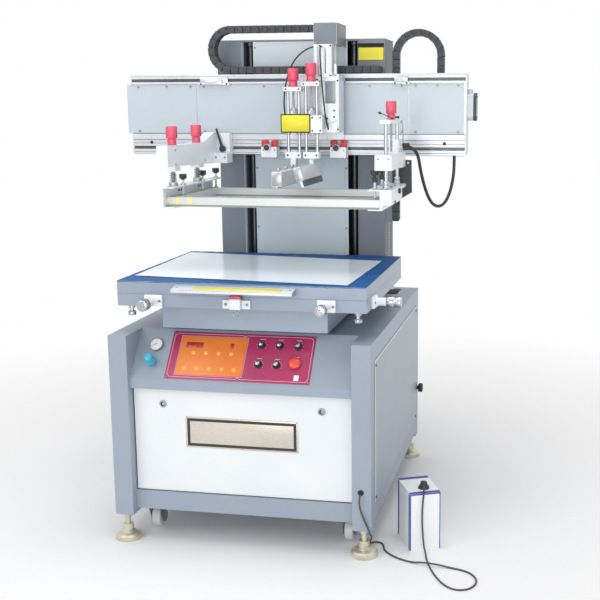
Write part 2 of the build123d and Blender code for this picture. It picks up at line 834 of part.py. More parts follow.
# Beam: an extrusion with guide rails and clamping grooves, end plates and slide brackets
beam_y = (front + beam_front, front + beam_front + beam_depth)
half_beam = beam_width / 2
recess_y = beam_y[0] + 6
with BuildPart() as beam:
    side_profile(
        [
            (beam_y[0], beam_bottom),
            (beam_y[0], groove_z - groove_height / 2),
            (beam_y[0] + groove_depth, groove_z - groove_height / 2),
            (beam_y[0] + groove_depth, groove_z + groove_height / 2),
            (beam_y[0], groove_z + groove_height / 2),
            (beam_y[0], guide_bottom),
            (beam_y[0] - guide_proud, guide_bottom),
            (beam_y[0] - guide_proud, guide_bottom + guide_height),
            (beam_y[0], guide_bottom + guide_height),
            (recess_y, cover_bottom),
            (recess_y, cover_top),
            (beam_y[0], cover_top),
            (beam_y[0], upper_groove_z - groove_height / 2),
            (beam_y[0] + groove_depth, upper_groove_z - groove_height / 2),
            (beam_y[0] + groove_depth, upper_groove_z + groove_height / 2),
            (beam_y[0], upper_groove_z + groove_height / 2),
            (beam_y[0], beam_top),
            (beam_y[1], beam_top),
            (beam_y[1], beam_bottom),
        ],
        -half_beam + 4,
        beam_width - 8,
    )
    for side in (-1, 1):
        across = sorted((side * half_beam, side * (half_beam - 4)))
        block(across, (recess_y, beam_y[1]), (beam_bottom, beam_top))
    # the extrusion is hollow
    block(
        (-half_beam + shell, half_beam - shell),
        (beam_y[0] + 2 * shell, beam_y[1] - shell),
        (beam_bottom + shell, beam_top - shell),
        mode=Mode.SUBTRACT,
    )
    plate_y = (beam_y[1], beam_y[1] + head_plate_thickness)
    head_plate_z = (head_plate_bottom, head_plate_bottom + head_plate_height)
    block((-head_plate_width / 2, head_plate_width / 2), plate_y, head_plate_z)
    for side in (-1, 1):
        x = side * shaft_x
        across = (x - bracket_width / 2, x + bracket_width / 2)
        bracket_z = (head_plate_z[0] + 10, head_plate_z[1] - 10)
        block(across, (plate_y[1], plate_y[1] + bracket_reach), bracket_z)
        upright(x, front + shaft_y, *head_plate_z, shaft_dia + 2 * bore_gap, mode=Mode.SUBTRACT)
    chain_end_x = lift_chain_x + lift_chain_radius
    chain_end_z = (lift_chain_end - 30, lift_chain_end + 30)
    block((chain_end_x - 14, chain_end_x + 14), (beam_y[1], front + lift_chain_y - seat_gap), chain_end_z)
keep(beam, "beam")

# Cover sheets of the beam and the rounded cover of its right end
with BuildPart() as beam_cover:
    side_cover_z = (cover_bottom, cover_top - 1)
    side_cover_y = (recess_y - 2, recess_y)
    block((-half_beam - side_cover_overhang, centre_cover_left - 4), side_cover_y, side_cover_z)
    block((centre_cover_right + 4, half_beam - side_cover_short), side_cover_y, side_cover_z)
    block((centre_cover_left, centre_cover_right), (recess_y - 3, recess_y), side_cover_z)
    with BuildSketch(Plane.YZ.offset(half_beam)):
        with Locations((beam_y[0] + 10 + end_cover_depth / 2, end_cover_bottom + end_cover_height / 2)):
            RectangleRounded(end_cover_depth, end_cover_height, 18)
    extrude(amount=end_cover_reach)
    fillet(faces().sort_by(Axis.X)[-1].edges(), 12)
    end_cover_top = end_cover_bottom + end_cover_height
    upright(half_beam + 12, beam_y[0] + 30, end_cover_top - 2, end_cover_top + 14, 20)
keep(beam_cover, "beam_cover")

# Left clamp arm with its slider block and tongue in the beam's groove
arm_y = (front + left_arm_front, front + arm_rear)
left_arm_outer = left_arm_inner - left_arm_width
tongue_z = (groove_z - groove_height / 2 + slide_gap, groove_z + groove_height / 2 - slide_gap)
tongue_y = (beam_y[0] - slide_gap, beam_y[0] + groove_depth - slide_gap)
spindle_x = left_arm_inner - left_arm_width / 2
with BuildPart() as left_arm:
    rise_y = front + 592
    side_profile(
        [
            (arm_y[0], left_arm_bottom),
            (arm_y[0], left_arm_top),
            (rise_y, left_arm_top),
            (arm_y[1] - 60, left_arm_top_rear),
            (arm_y[1], left_arm_top_rear),
            (arm_y[1], left_arm_bottom_rear),
        ],
        left_arm_outer,
        left_arm_width,
    )
    block_x = (left_arm_inner, left_arm_inner + left_block_width)
    block(block_x, (front + left_block_front, arm_y[1]), (left_block_bottom, lever_z - 15))
    block(block_x, (arm_y[1] - 32, arm_y[1]), (lever_z - 15, left_block_top))
    whole_x = (left_arm_outer, block_x[1])
    block(whole_x, (arm_y[1], beam_y[0] - slide_gap), (beam_bottom + 2, guide_bottom - 2))
    block(whole_x, tongue_y, tongue_z)
    for y in left_knob_ys:
        pad_y = (front + y - 26, front + y + 26)
        pad_z = (left_arm_bottom_rear - 6, left_arm_bottom + 4)
        block((left_arm_outer + 2, left_arm_inner - 2), pad_y, pad_z)
        spindle_z = (left_arm_bottom_rear - 8, left_arm_top + 4)
        upright(spindle_x, front + y, *spindle_z, spindle_dia + 2 * bore_gap, mode=Mode.SUBTRACT)
    lying_y(
        block_x[0] + left_block_width / 2,
        lever_z,
        arm_y[1] - 40,
        arm_y[1] - 10,
        12 + 2 * bore_gap,
        mode=Mode.SUBTRACT,
    )
keep(left_arm, "left_arm")

# Clamping lever of the left arm
lever_x = left_arm_inner + left_block_width / 2
lever_face = arm_y[1] - 32
with BuildPart() as clamp_lever:
    lying_y(lever_x, lever_z, lever_face - 16, lever_face - seat_gap, 24)
    lying_y(lever_x, lever_z, lever_face - seat_gap, arm_y[1] - 12, 12)
    lever_foot = (lever_x, lever_face - 9, lever_z)
    lever_plane = Plane(origin=lever_foot, x_dir=(0, 1, 0), z_dir=(-0.29, 0, 0.957))
    with BuildSketch(lever_plane):
        Circle(lever_dia / 2)
    extrude(amount=lever_length - 6, taper=1.2)
keep(clamp_lever, "clamp_lever")

# Height knobs of the left arm, on spindles that reach down to the channel
left_channel_top = channel_bottom + channel_height
for y, word in zip(left_knob_ys, ("front", "rear")):
    with BuildPart() as height_knob:
        low = left_arm_top + seat_gap
        upright(spindle_x, front + y, low, low + 26, arm_knob_dia - 8)
        upright(spindle_x, front + y, low + 22, low + arm_knob_height, arm_knob_dia)
        fillet(edges().filter_by(GeomType.CIRCLE).sort_by(Axis.Z)[-1], 3)
        upright(spindle_x, front + y, left_channel_top + 2 * off_contact, low, spindle_dia)
    keep(height_knob, f"left_height_knob_{word}")

# Left channel: a C section open towards the screen, with thumb screws
left_channel_outer = screen_left - seat_gap - channel_wall
left_channel_y = (front + left_channel_front, front + left_channel_front + left_channel_length)


def add_channel(web_x, opening, length_y, lip):
    """A C section along Y. opening is +1 when it opens to the right."""
    low, high = channel_bottom, channel_bottom + channel_height
    reach = web_x + opening * lip
    across = sorted((web_x, reach))
    block(across, length_y, (low, high))
    inner = sorted((web_x + opening * channel_wall, reach))
    block(inner, length_y, (low + channel_wall, high - channel_wall), mode=Mode.SUBTRACT)


screen_bottom = channel_bottom + channel_wall + seat_gap
screen_top = screen_bottom + screen_height
thumb_ys = (384.0, 590.0, 740.0)
with BuildPart() as left_channel:
    add_channel(left_channel_outer, 1, left_channel_y, channel_lip)
    screw_x = left_channel_outer + channel_lip - 12
    for y in thumb_ys:
        upright(screw_x, front + y, screen_top + seat_gap, left_channel_top + 24, thumb_dia)
        upright(screw_x, front + y, left_channel_top + 24, left_channel_top + 40, thumb_head)
        upright(screw_x, front + y, left_channel_top, left_channel_top + 7, thumb_head)
    for y in left_knob_ys:
        upright(spindle_x, front + y, left_channel_top, left_channel_top + 14, collar_dia + 8)
        collar_z = (left_channel_top + 2, left_channel_top + 15)
        upright(spindle_x, front + y, *collar_z, spindle_dia + 6, mode=Mode.SUBTRACT)
keep(left_channel, "left_channel")

# Right clamp arm: front block, end plate, narrow rear part and a hanging bracket
right_arm_top = right_arm_bottom + right_arm_height
right_rod_ys = (right_rod_front, right_rod_rear)
end_plate_rear = right_rod_rear + 33.0
with BuildPart() as right_arm:
    arm_x = (right_arm_inner, right_arm_inner + right_arm_width)
    block(arm_x, (front + right_arm_front, front + right_block_rear), (right_arm_bottom, right_arm_top))
    chamfer(edges().filter_by(Axis.Z).group_by(Axis.Y)[0].sort_by(Axis.X)[-1], 4)
    end_plate_y = (front + right_block_rear, front + end_plate_rear)
    block((arm_x[0], arm_x[1] - 2), end_plate_y, (right_arm_bottom - 3, right_arm_top - 2))
    neck_x = (arm_x[0], arm_x[0] + right_neck_width)
    block(neck_x, (front + end_plate_rear, arm_y[1]), (right_arm_bottom, right_arm_top))
    clamp_x = (arm_x[0] - 30, neck_x[1])
    block(clamp_x, (arm_y[1] - 14, beam_y[0] - slide_gap), (beam_bottom + 2, guide_bottom - 2))
    block(clamp_x, tongue_y, tongue_z)
    # housing round the rear rod, with the fitting of the hose
    housing_x = (right_rod_x - 26, right_rod_x + 4 + right_rod_dia / 2)
    housing_y = (front + right_rod_rear - 28, front + right_rod_rear + 32)
    block(housing_x, housing_y, (right_arm_top - 2, right_arm_top + 46))
    lying_x(front + hose_fitting_y, hose_fitting_z, housing_x[1], housing_x[1] + 8, 20)
    for y in right_rod_ys:
        upright(
            right_rod_x,
            front + y,
            right_arm_bottom - 3,
            right_arm_top + 46,
            right_rod_dia + 2 * bore_gap,
            mode=Mode.SUBTRACT,
        )
    with BuildSketch(Plane.XZ.offset(-(front + end_plate_rear + 6))):
        with BuildLine():
            Polyline(
                (right_rod_x + 14, 1150),
                (right_rod_x + 50, 1172),
                (right_rod_x + 48, 1290),
                (right_rod_x - 2, 1292),
                (right_rod_x - 2, 1256),
                close=True,
            )
        make_face()
    extrude(amount=6)
keep(right_arm, "right_arm")

# Right channel with its two rods and their cross plate, which move together
right_web = screen_left + screen_width + seat_gap
right_channel_outer = right_arm_inner + right_arm_width
right_channel_y = (front + right_channel_front, front + right_channel_front + right_channel_length)
right_cross_low = right_rod_top
with BuildPart() as right_channel:
    right_channel_x = (right_web - right_channel_lip, right_channel_outer)
    block(right_channel_x, right_channel_y, (channel_bottom, right_channel_top))
    block(
        (right_web - right_channel_lip, right_web),
        right_channel_y,
        (channel_bottom + channel_wall, right_channel_top - channel_wall),
        mode=Mode.SUBTRACT,
    )
    relief_x = (right_web + 8, right_channel_outer + 1)
    block(relief_x, right_channel_y, (channel_bottom, channel_bottom + 20), mode=Mode.SUBTRACT)
    plate_y = (right_channel_y[1] - 1, front + end_plate_rear)
    plate_x = (right_web - right_channel_lip, right_channel_outer)
    block(plate_x, plate_y, (right_channel_top - 12, right_channel_top))
    lying_x(front + 445, right_channel_top - 14, right_channel_outer, right_channel_outer + 6, 18)
    for y in right_rod_ys:
        upright(right_rod_x, front + y, right_channel_top, right_rod_top, right_rod_dia)
        upright(right_rod_x, front + y, right_channel_top, right_channel_top + 12, right_rod_dia + 10)
        upright(right_rod_x, front + y, right_channel_top + 16, right_channel_top + 26, right_rod_dia + 7)
    cross_x = (right_rod_x - 17, right_rod_x + 17)
    cross_y = (front + right_rod_front - 22, front + right_rod_rear + 22)
    block(cross_x, cross_y, (right_cross_low, right_cross_low + right_cross_height))
    upright(
        right_rod_x,
        front + right_knob_y,
        right_cross_low,
        right_cross_low + right_cross_height,
        screw_dia + 2 * bore_gap,
        mode=Mode.SUBTRACT,
    )
    inner_x = right_web - 24
    for y in right_thumb_ys:
        upright(inner_x, front + y, screen_top + seat_gap, right_channel_top + 24, thumb_dia)
        upright(inner_x, front + y, right_channel_top + 24, right_channel_top + 40, thumb_head)
keep(right_channel, "right_channel")

with BuildPart() as right_knob:
    low = right_cross_low + right_cross_height + seat_gap
    upright(right_rod_x, front + right_knob_y, low, low + 22, right_knob_dia - 8)
    upright(right_rod_x, front + right_knob_y, low + 18, low + right_knob_height, right_knob_dia)
    fillet(edges().filter_by(GeomType.CIRCLE).sort_by(Axis.Z)[-1], 3)
    upright(right_rod_x, front + right_knob_y, right_arm_top + 2 * off_contact, low, screw_dia)
keep(right_knob, "right_height_knob")

# Screen frame and its mesh
screen_y = (front + screen_front, front + screen_front + screen_depth)
screen_right = screen_left + screen_width
mesh_low = screen_bottom + 1
with BuildPart() as screen_frame:
    block((screen_left, screen_right), screen_y, (screen_bottom, screen_top))
    block(
        (screen_left + screen_bar, screen_right - screen_bar),
        (screen_y[0] + screen_bar, screen_y[1] - screen_bar),
        (screen_bottom, screen_top),
        mode=Mode.SUBTRACT,
    )
keep(screen_frame, "screen_frame")

with BuildPart() as screen_mesh:
    block(
        (screen_left + screen_bar, screen_right - screen_bar),
        (screen_y[0] + screen_bar, screen_y[1] - screen_bar),
        (mesh_low, mesh_low + mesh_thickness),
    )
keep(screen_mesh, "screen_mesh")

# Carriage: guide block for the rods, casting, top plate, cylinders and chain box
rod_depth_y = front + rod_y
flood_rods = (flood_x - rod_spacing / 2, flood_x + rod_spacing / 2)
squeegee_rods = (squeegee_x - rod_spacing / 2, squeegee_x + rod_spacing / 2)
casting_front = front + guide_block_rear - casting_wall
with BuildPart() as carriage:
    guide_block_y = (front + guide_block_front, front + guide_block_rear)
    guide_block_z = (guide_block_bottom, guide_block_top)
    block((carriage_left, guide_block_right), guide_block_y, guide_block_z)
    for x in (flood_x, squeegee_x):
        upright(x, rod_depth_y, guide_block_top, boss_top, boss_dia)
        screw_bore = screw_dia + 2 * bore_gap
        upright(x, rod_depth_y, guide_block_bottom, boss_top, screw_bore, mode=Mode.SUBTRACT)
    for x in (*flood_rods, *squeegee_rods):
        rod_bore = rod_dia + 2 * bore_gap
        upright(x, rod_depth_y, guide_block_bottom, boss_top, rod_bore, mode=Mode.SUBTRACT)
    casting_y = (casting_front, casting_front + casting_wall)
    block((carriage_left + 100, carriage_right), casting_y, (guide_block_bottom, carriage_top))
    window_x = (carriage_right - window_side - window_width, carriage_right - window_side)
    window_z = (carriage_top - window_side - window_height, carriage_top - window_side)
    block(window_x, casting_y, window_z, mode=Mode.SUBTRACT)
    back_y = (front + back_plate_rear - casting_wall, front + back_plate_rear)
    left_wall = (carriage_left, carriage_left + casting_wall)
    right_wall = (carriage_right - casting_wall, carriage_right)
    for x in (left_wall, right_wall):
        high = guide_block_top if x[0] < 0 else carriage_top
        block(x, (casting_front, back_y[0]), (guide_block_bottom, high))
    block((carriage_left, carriage_right), back_y, (guide_bottom + 2, carriage_top))
    guide_front = beam_y[0] - guide_proud
    pad_y = (back_y[1], guide_front - slide_gap)
    block((carriage_left, carriage_right), pad_y, (guide_bottom, guide_bottom + guide_height))
    upper_half = groove_height / 2 - slide_gap
    upper_z = (upper_groove_z - upper_half, upper_groove_z + upper_half)
    block((carriage_left, carriage_right), (back_y[1], beam_y[0] + groove_depth - slide_gap), upper_z)
    top_x = (chain_box_left - 9, carriage_right)
    block(top_x, (front + 678, back_y[1]), (carriage_top - 12, carriage_top))
    block(
        (cylinder_x - cylinder_side / 2, cylinder_x + cylinder_side / 2),
        (front + cylinder_y - cylinder_side / 2, front + cylinder_y + cylinder_side / 2),
        (carriage_top, chain_box_bottom),
    )
    upright(slim_x, front + slim_y, carriage_top, chain_box_bottom, slim_dia)
    post_y = (front + post_front, front + post_front + 22)
    block((post_left, post_right), post_y, (carriage_top, chain_box_bottom))
    chain_box_y = (front + chain_box_front, front + chain_y + chain_width + 4)
    chain_box_z = (chain_box_bottom, chain_box_bottom + chain_box_height)
    block((chain_box_left, chain_box_right), chain_box_y, chain_box_z)
    fillet(edges().filter_by(Axis.Z).group_by(Axis.Y)[0], 4)
keep(carriage, "carriage")


def add_unit(centre, rods, cross_low):
    """Two guide rods under a cross plate with a bore for the adjusting screw, and a foot block."""
    for x in rods:
        upright(x, rod_depth_y, rod_foot_z, cross_low, rod_dia)
    plate_x = (centre - unit_width / 2, centre + unit_width / 2)
    plate_y = (rod_depth_y - cross_depth / 2, rod_depth_y + cross_depth / 2)
    block(plate_x, plate_y, (cross_low, cross_low + cross_height))
    screw_bore = screw_dia + 2 * bore_gap
    upright(centre, rod_depth_y, cross_low, cross_low + cross_height, screw_bore, mode=Mode.SUBTRACT)
    block((plate_x[0] + 4, plate_x[1] - 4), plate_y, (rod_foot_z, rod_foot_z + 24))


with BuildPart() as flood_unit:
    add_unit(flood_x, flood_rods, flood_cross_bottom)
    bar_top = flood_bar_bottom + flood_bar_height
    block((flood_x - 10, flood_x + 10), (rod_depth_y - 18, rod_depth_y + 18), (bar_top, rod_foot_z))
    block(
        (flood_x - flood_bar_width / 2, flood_x + flood_bar_width / 2),
        (front + blade_start, front + blade_start + blade_length),
        (flood_bar_bottom, bar_top),
    )
    block(
        (flood_x - 3, flood_x + 3),
        (front + blade_start, front + blade_start + blade_length),
        (flood_bar_bottom - 6, flood_bar_bottom),
    )
keep(flood_unit, "flood_unit")

lug_width = 12.0
with BuildPart() as squeegee_unit:
    add_unit(squeegee_x, squeegee_rods, squeegee_cross_bottom)
    lug_y = (rod_depth_y - lug_width / 2, rod_depth_y + lug_width / 2)
    block((squeegee_x - 9, squeegee_x + 9), lug_y, (holder_pivot_z - 7, rod_foot_z))
    lying_y(squeegee_x, holder_pivot_z, lug_y[0], lug_y[1], pivot_dia + 2 * bore_gap, mode=Mode.SUBTRACT)
keep(squeegee_unit, "squeegee_unit")

# Squeegee holder, tilted about its pin, with the rubber blade in its jaw
tilt = math.radians(holder_tilt)
holder_down = Vector(math.sin(tilt), 0, -math.cos(tilt))
holder_across = Vector(math.cos(tilt), 0, math.sin(tilt))
pivot = Vector(squeegee_x, front + blade_start, holder_pivot_z)
holder_plane = Plane(origin=pivot, x_dir=holder_across, z_dir=(0, 1, 0))
ear_width = 10.0
with BuildPart() as squeegee_holder:
    local_down = 1 if (holder_plane.y_dir - holder_down).length < 0.01 else -1
    with BuildSketch(holder_plane):
        with Locations((0, local_down * (pivot_drop + holder_height / 2))):
            Rectangle(holder_width, holder_height)
        with Locations((0, local_down * (pivot_drop + holder_height - 7))):
            Rectangle(blade_thickness + seat_gap, 14, mode=Mode.SUBTRACT)
    extrude(amount=blade_length)
    for ear_side in (-1, 1):
        ear_mid = rod_depth_y + ear_side * (lug_width / 2 + slide_gap + ear_width / 2)
        ear_plane = holder_plane.offset(ear_mid - ear_width / 2 - (front + blade_start))
        with BuildSketch(ear_plane):
            Circle(7)
            with Locations((0, local_down * (pivot_drop + 2) / 2)):
                Rectangle(14, pivot_drop + 2)
        extrude(amount=ear_width)
    lying_y(
        squeegee_x,
        holder_pivot_z,
        rod_depth_y - lug_width / 2 - ear_width - 4,
        rod_depth_y + lug_width / 2 + ear_width + 4,
        pivot_dia,
    )
    blade_low = pivot_drop + holder_height - 14 + seat_gap
    blade_tip = pivot_drop + holder_height + blade_reach
    with BuildSketch(holder_plane.offset(2)):
        with Locations((0, local_down * (blade_low + blade_tip) / 2)):
            Rectangle(blade_thickness, blade_tip - blade_low)
    extrude(amount=blade_length - 4)
keep(squeegee_holder, "squeegee_holder")

for centre, cross_low, label in (
    (flood_x, flood_cross_bottom, "flood_knob"),
    (squeegee_x, squeegee_cross_bottom, "squeegee_knob"),
):
    with BuildPart() as stroke_knob:
        low = cross_low + cross_height + seat_gap
        upright(centre, rod_depth_y, low, low + 26, red_knob_dia - 10)
        upright(centre, rod_depth_y, low + 22, low + red_knob_height, red_knob_dia)
        fillet(edges().filter_by(GeomType.CIRCLE).sort_by(Axis.Z)[-1], 3)
        upright(centre, rod_depth_y, screw_tip, low, screw_dia)
    keep(stroke_knob, label)

# Limit stops clamped to the beam
for x, label in ((left_stop_x, "left_limit_stop"), (right_stop_x, "right_limit_stop")):
    with BuildPart() as limit_stop:
        across = (x - stop_width / 2, x + stop_width / 2)
        block(across, (beam_y[0] - 12, beam_y[0] - slide_gap), (beam_bottom - 10, guide_bottom - 2))
        block((across[0] + 4, across[1] - 4), tongue_y, tongue_z)
        block(across, (front + stop_front, beam_y[0] - 12), (beam_bottom - 10, beam_bottom - 4))
        block(across, (front + stop_front, front + stop_front + 4), (beam_bottom - 4, beam_bottom + 30))
        pad_y = (front + stop_front + 6, beam_y[0] - 12)
        for edge in (across[0], across[1] - 23):
            block((edge, edge + 23), pad_y, (beam_bottom + 31, guide_bottom - 2))
        lying_y(x - 6, beam_bottom + 28, front + stop_front - 14, front + stop_front, 26)
    keep(limit_stop, label)

# Drag chain of the carriage: lower run on the beam, bend, upper run to the chain box
lower_mid = beam_top + chain_lie + chain_thickness / 2
bend_z = lower_mid + chain_radius
chain_span = (front + chain_y, front + chain_y + chain_width)
with BuildPart() as beam_chain:
    with BuildSketch(Plane.XZ.offset(-chain_span[1])):
        with BuildLine():
            Line((chain_right, lower_mid), (chain_bend_x, lower_mid))
            CenterArc((chain_bend_x, bend_z), chain_radius, 90, 180)
            chain_end = chain_box_left - seat_gap
            Line((chain_bend_x, bend_z + chain_radius), (chain_end, bend_z + chain_radius))
            offset(amount=chain_thickness / 2, side=Side.BOTH, kind=Kind.ARC)
        make_face()
        # the rounded ends are cut square
        with Locations((chain_right + chain_thickness / 2, lower_mid)):
            Rectangle(chain_thickness, chain_thickness * 2, mode=Mode.SUBTRACT)
        with Locations((chain_end + chain_thickness / 2, bend_z + chain_radius)):
            Rectangle(chain_thickness, chain_thickness * 2, mode=Mode.SUBTRACT)
    extrude(amount=chain_width)
keep(beam_chain, "beam_chain")

# Drag chain of the lift: up the column's side, over, and down behind the beam
lift_span = (front + lift_chain_y, front + lift_chain_y + 38)
with BuildPart() as lift_chain:
    with BuildSketch(Plane.XZ.offset(-lift_span[1])):
        with BuildLine():
            left_x = lift_chain_x - lift_chain_radius
            right_x = lift_chain_x + lift_chain_radius
            Line((left_x, lift_chain_foot), (left_x, lift_chain_bend_z))
            CenterArc((lift_chain_x, lift_chain_bend_z), lift_chain_radius, 0, 180)
            Line((right_x, lift_chain_bend_z), (right_x, lift_chain_end))
            offset(amount=chain_thickness / 2, side=Side.BOTH, kind=Kind.ARC)
        make_face()
        with Locations((left_x, lift_chain_foot - chain_thickness / 2)):
            Rectangle(chain_thickness * 2, chain_thickness, mode=Mode.SUBTRACT)
        with Locations((right_x, lift_chain_end - chain_thickness / 2)):
            Rectangle(chain_thickness * 2, chain_thickness, mode=Mode.SUBTRACT)
    extrude(amount=38)
keep(lift_chain, "lift_chain")


def cord_tube(name, points, dia):
    """A tube along straight runs joined by tangent arcs as large as the runs allow."""
    route = [Vector(*p) for p in points]
    runs = [(b - a).length for a, b in zip(route, route[1:])]
    radii = []
    for i in range(1, len(route) - 1):
        turn = (route[i] - route[i - 1]).get_angle(route[i + 1] - route[i])
        radii.append(0.45 * min(runs[i - 1], runs[i]) / math.tan(math.radians(turn) / 2))
    print(name, "radii", [round(r) for r in radii])
    with BuildLine() as line:
        FilletPolyline(*route, radius=radii)
    start = Plane(origin=route[0], z_dir=route[1] - route[0])
    with BuildSketch(start) as section:
        Circle(dia / 2)
    sweep(sections=section.sketch, path=line.wires()[0])
    length = line.wires()[0].length
    print(name, "length", round(length), "volume check", round(math.pi * dia**2 / 4 * length))


# Foot switch in its carton, standing beside the machine
box_plane = Plane(
    origin=(box_corner[0], front + box_corner[1], 0),
    x_dir=(math.cos(math.radians(box_turn)), math.sin(math.radians(box_turn)), 0),
    z_dir=(0, 0, 1),
)
with BuildPart() as foot_switch_box:
    with BuildSketch(box_plane):
        Rectangle(box_width, box_depth, align=(Align.MIN, Align.MIN))
    extrude(amount=box_height)
    with BuildSketch(box_plane.offset(box_height)):
        with Locations(gland_spot):
            Circle(gland_dia / 2)
    extrude(amount=gland_height, taper=18)
keep(foot_switch_box, "foot_switch_box")

# The foot switch's cord, from the leg round its foot and over the floor to the gland
foot_cord_points = [
    (cord_hole_x, front + cord_hole_depth, cord_hole_z),
    (415, front - 6, 232),
    (415, front - 22, 224),
    (415, front - 28, 206),
    (417, front - 22, 184),
    (421.5, front - 14, 162),
    (429, front - 8.5, 138),
    (439, front - 8, 116),
    (447, front - 8, 93),
    (447, front + 14, 78),
    (444, front + 40, 64),
    (438, front + 66, 47),
    (433, front + 82, 33),
    (426, front + 96, 20),
    (421.5, front + 110.5, 8.5),
    (426, front + 126, 3.5),
    (439.5, front + 136, 3),
    (456, front + 134.5, 3),
    (469, front + 120, 3),
    (474, front + 100, 3),
    (480, front + 78, 3),
    (499, front + 50, 3),
    (536, front + 19, 3),
    (586, front - 3, 3),
    (622, front - 12, 10.5),
    (668, front - 18, 10.5),
    (716, front - 20, 3),
    (768, front - 35, 3),
    (802, front - 70, 3),
    (811, front - 118, 3),
    (789, front - 164, 3),
    (745, front - 175, 3),
    (705, front - 142, 3),
    (673, front - 86, 3),
    (646, front - 22, 3),
    (629, front + 36, 3),
]
face_route = [
    (46.5, -30, 4.5),
    (46, -16, 14),
    (44.5, -11, 32),
    (42, -10, 66),
    (40, -9, 110),
    (40.5, -9, 155),
    (43, -10, 188),
    (45, -9, 204),
    (48, -1.5, 216),
    (51.5, 10, 221.5),
    (56, 23, 219.5),
    (59.5, 35, 214),
]
foot_cord_points += [tuple(box_plane.from_local_coords(Vector(*p))) for p in face_route]
with BuildPart() as foot_switch_cord:
    cord_tube("foot_switch_cord", foot_cord_points, cord_dia)
keep(foot_switch_cord, "foot_switch_cord")

# Hose loop from the right arm to the underside of the beam
arm_hose_points = [
    (housing_x[1] + 8, front + hose_fitting_y, hose_fitting_z),
    (housing_x[1] + 28, front + hose_fitting_y, hose_fitting_z),
    (496.5, front + 601.5, 1332.5),
    (509, front + 612, 1315),
    (514, front + 627, 1292),
    (516, front + 646, 1262),
    (520, front + 668, 1226),
    (527, front + 690, 1188),
    (536, front + 710, 1153),
    (547, front + 729, 1126),
    (561, front + 746, 1110),
    (576, front + 762, 1107),
    (590, front + 777, 1115),
    (601.5, front + 791, 1133),
    (611, front + 804, 1160),
    (618.5, front + 814, 1195),
    (624, front + 821, 1240),
    (624, front + 821, beam_bottom),
]
with BuildPart() as arm_hose:
    cord_tube("arm_hose", arm_hose_points, arm_hose_dia)
keep(arm_hose, "arm_hose")

# Air hoses of the carriage
carriage_hose_routes = {
    "flood hose": [
        (107, front + 690, 1706),
        (90, front + 688, 1702),
        (66, front + 684, 1689),
        (42, front + 679, 1668),
        (22, front + 675, 1638),
        (7, front + 672, 1600),
        (-3, front + 670, 1556),
        (-8, front + 669, 1510),
        (-7, front + 668, 1474),
        (-4, front + 667.5, guide_block_top),
    ],
    "squeegee hose": [
        (138, front + cylinder_y - cylinder_side / 2, 1705),
        (138, front + 666, 1705),
        (138.5, front + 653.5, 1700.5),
        (139.5, front + 645, 1690),
        (140.5, front + 641, 1674),
        (141.5, front + 641, 1650),
        (143, front + 643, 1610),
        (146, front + 646, 1560),
        (150, front + 650, 1505),
        (154, front + 655, 1460),
        (157, front + 664, 1425),
        (160, casting_front, 1400),
    ],
}
with BuildPart() as carriage_hoses:
    for hose, points in carriage_hose_routes.items():
        cord_tube(hose, points, carriage_hose_dia)
keep(carriage_hoses, "carriage_hoses")
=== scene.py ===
import math

import bmesh
import bpy
from mathutils import Matrix, Vector, noise


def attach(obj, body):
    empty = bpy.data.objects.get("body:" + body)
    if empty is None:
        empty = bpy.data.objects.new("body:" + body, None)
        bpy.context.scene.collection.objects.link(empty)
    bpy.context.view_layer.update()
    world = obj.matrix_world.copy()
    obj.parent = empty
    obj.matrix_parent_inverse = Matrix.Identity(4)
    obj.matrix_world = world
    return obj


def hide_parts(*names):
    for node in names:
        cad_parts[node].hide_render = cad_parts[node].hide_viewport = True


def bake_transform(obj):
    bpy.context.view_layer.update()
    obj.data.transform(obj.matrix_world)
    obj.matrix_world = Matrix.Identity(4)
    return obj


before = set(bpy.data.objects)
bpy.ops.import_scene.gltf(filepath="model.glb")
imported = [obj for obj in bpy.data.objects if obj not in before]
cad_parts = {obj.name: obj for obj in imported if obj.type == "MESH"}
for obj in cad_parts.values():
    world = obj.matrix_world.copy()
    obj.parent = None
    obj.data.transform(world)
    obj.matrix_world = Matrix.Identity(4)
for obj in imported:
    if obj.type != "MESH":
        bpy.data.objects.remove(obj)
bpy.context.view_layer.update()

print("frame loaded:", len(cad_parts), "nodes")

# Millimetres from the middle, from the legs' front faces and from the floor, to metres
machine = Matrix.Translation((0, -0.512, 0)) @ Matrix.Scale(0.001, 4)


def at(x, y, z):
    return machine @ Vector((x, y, z))


cameraLook = {
    "spot": (1.04689, -3.66039, 1.49178),
    "turn": 0.1791,  # to the left of straight back
    "tip": -0.1769,
    "roll": -0.0015,
    "lens": 61.585,
    "shift": (-0.13155, -0.01997),
}


def makeCamera(look):
    turn, tip, roll = look["turn"], look["tip"], look["roll"]
    ahead = Vector((-math.sin(turn) * math.cos(tip), math.cos(turn) * math.cos(tip), math.sin(tip)))
    right = Vector((math.cos(turn), math.sin(turn), 0))
    up = right.cross(ahead)
    rightRolled = math.cos(roll) * right + math.sin(roll) * up
    upRolled = -math.sin(roll) * right + math.cos(roll) * up
    lens = bpy.data.cameras.new("studioCamera")
    lens.sensor_width = 36
    lens.lens = look["lens"]
    lens.shift_x, lens.shift_y = look["shift"]
    lens.clip_end = 60
    camera = bpy.data.objects.new("studioCamera", lens)
    stand = Matrix((rightRolled, upRolled, -ahead)).transposed().to_4x4()
    stand.translation = Vector(look["spot"])
    camera.matrix_world = stand
    bpy.context.scene.collection.objects.link(camera)
    bpy.context.scene.camera = camera


makeCamera(cameraLook)


# Node tools for the finishes
def newFinish(name):
    finish = bpy.data.materials.new(name)
    finish.use_nodes = True
    tree = finish.node_tree
    shader = tree.nodes["Principled BSDF"]
    place = tree.nodes.new("ShaderNodeTexCoord").outputs["Object"]
    return finish, tree, shader, place


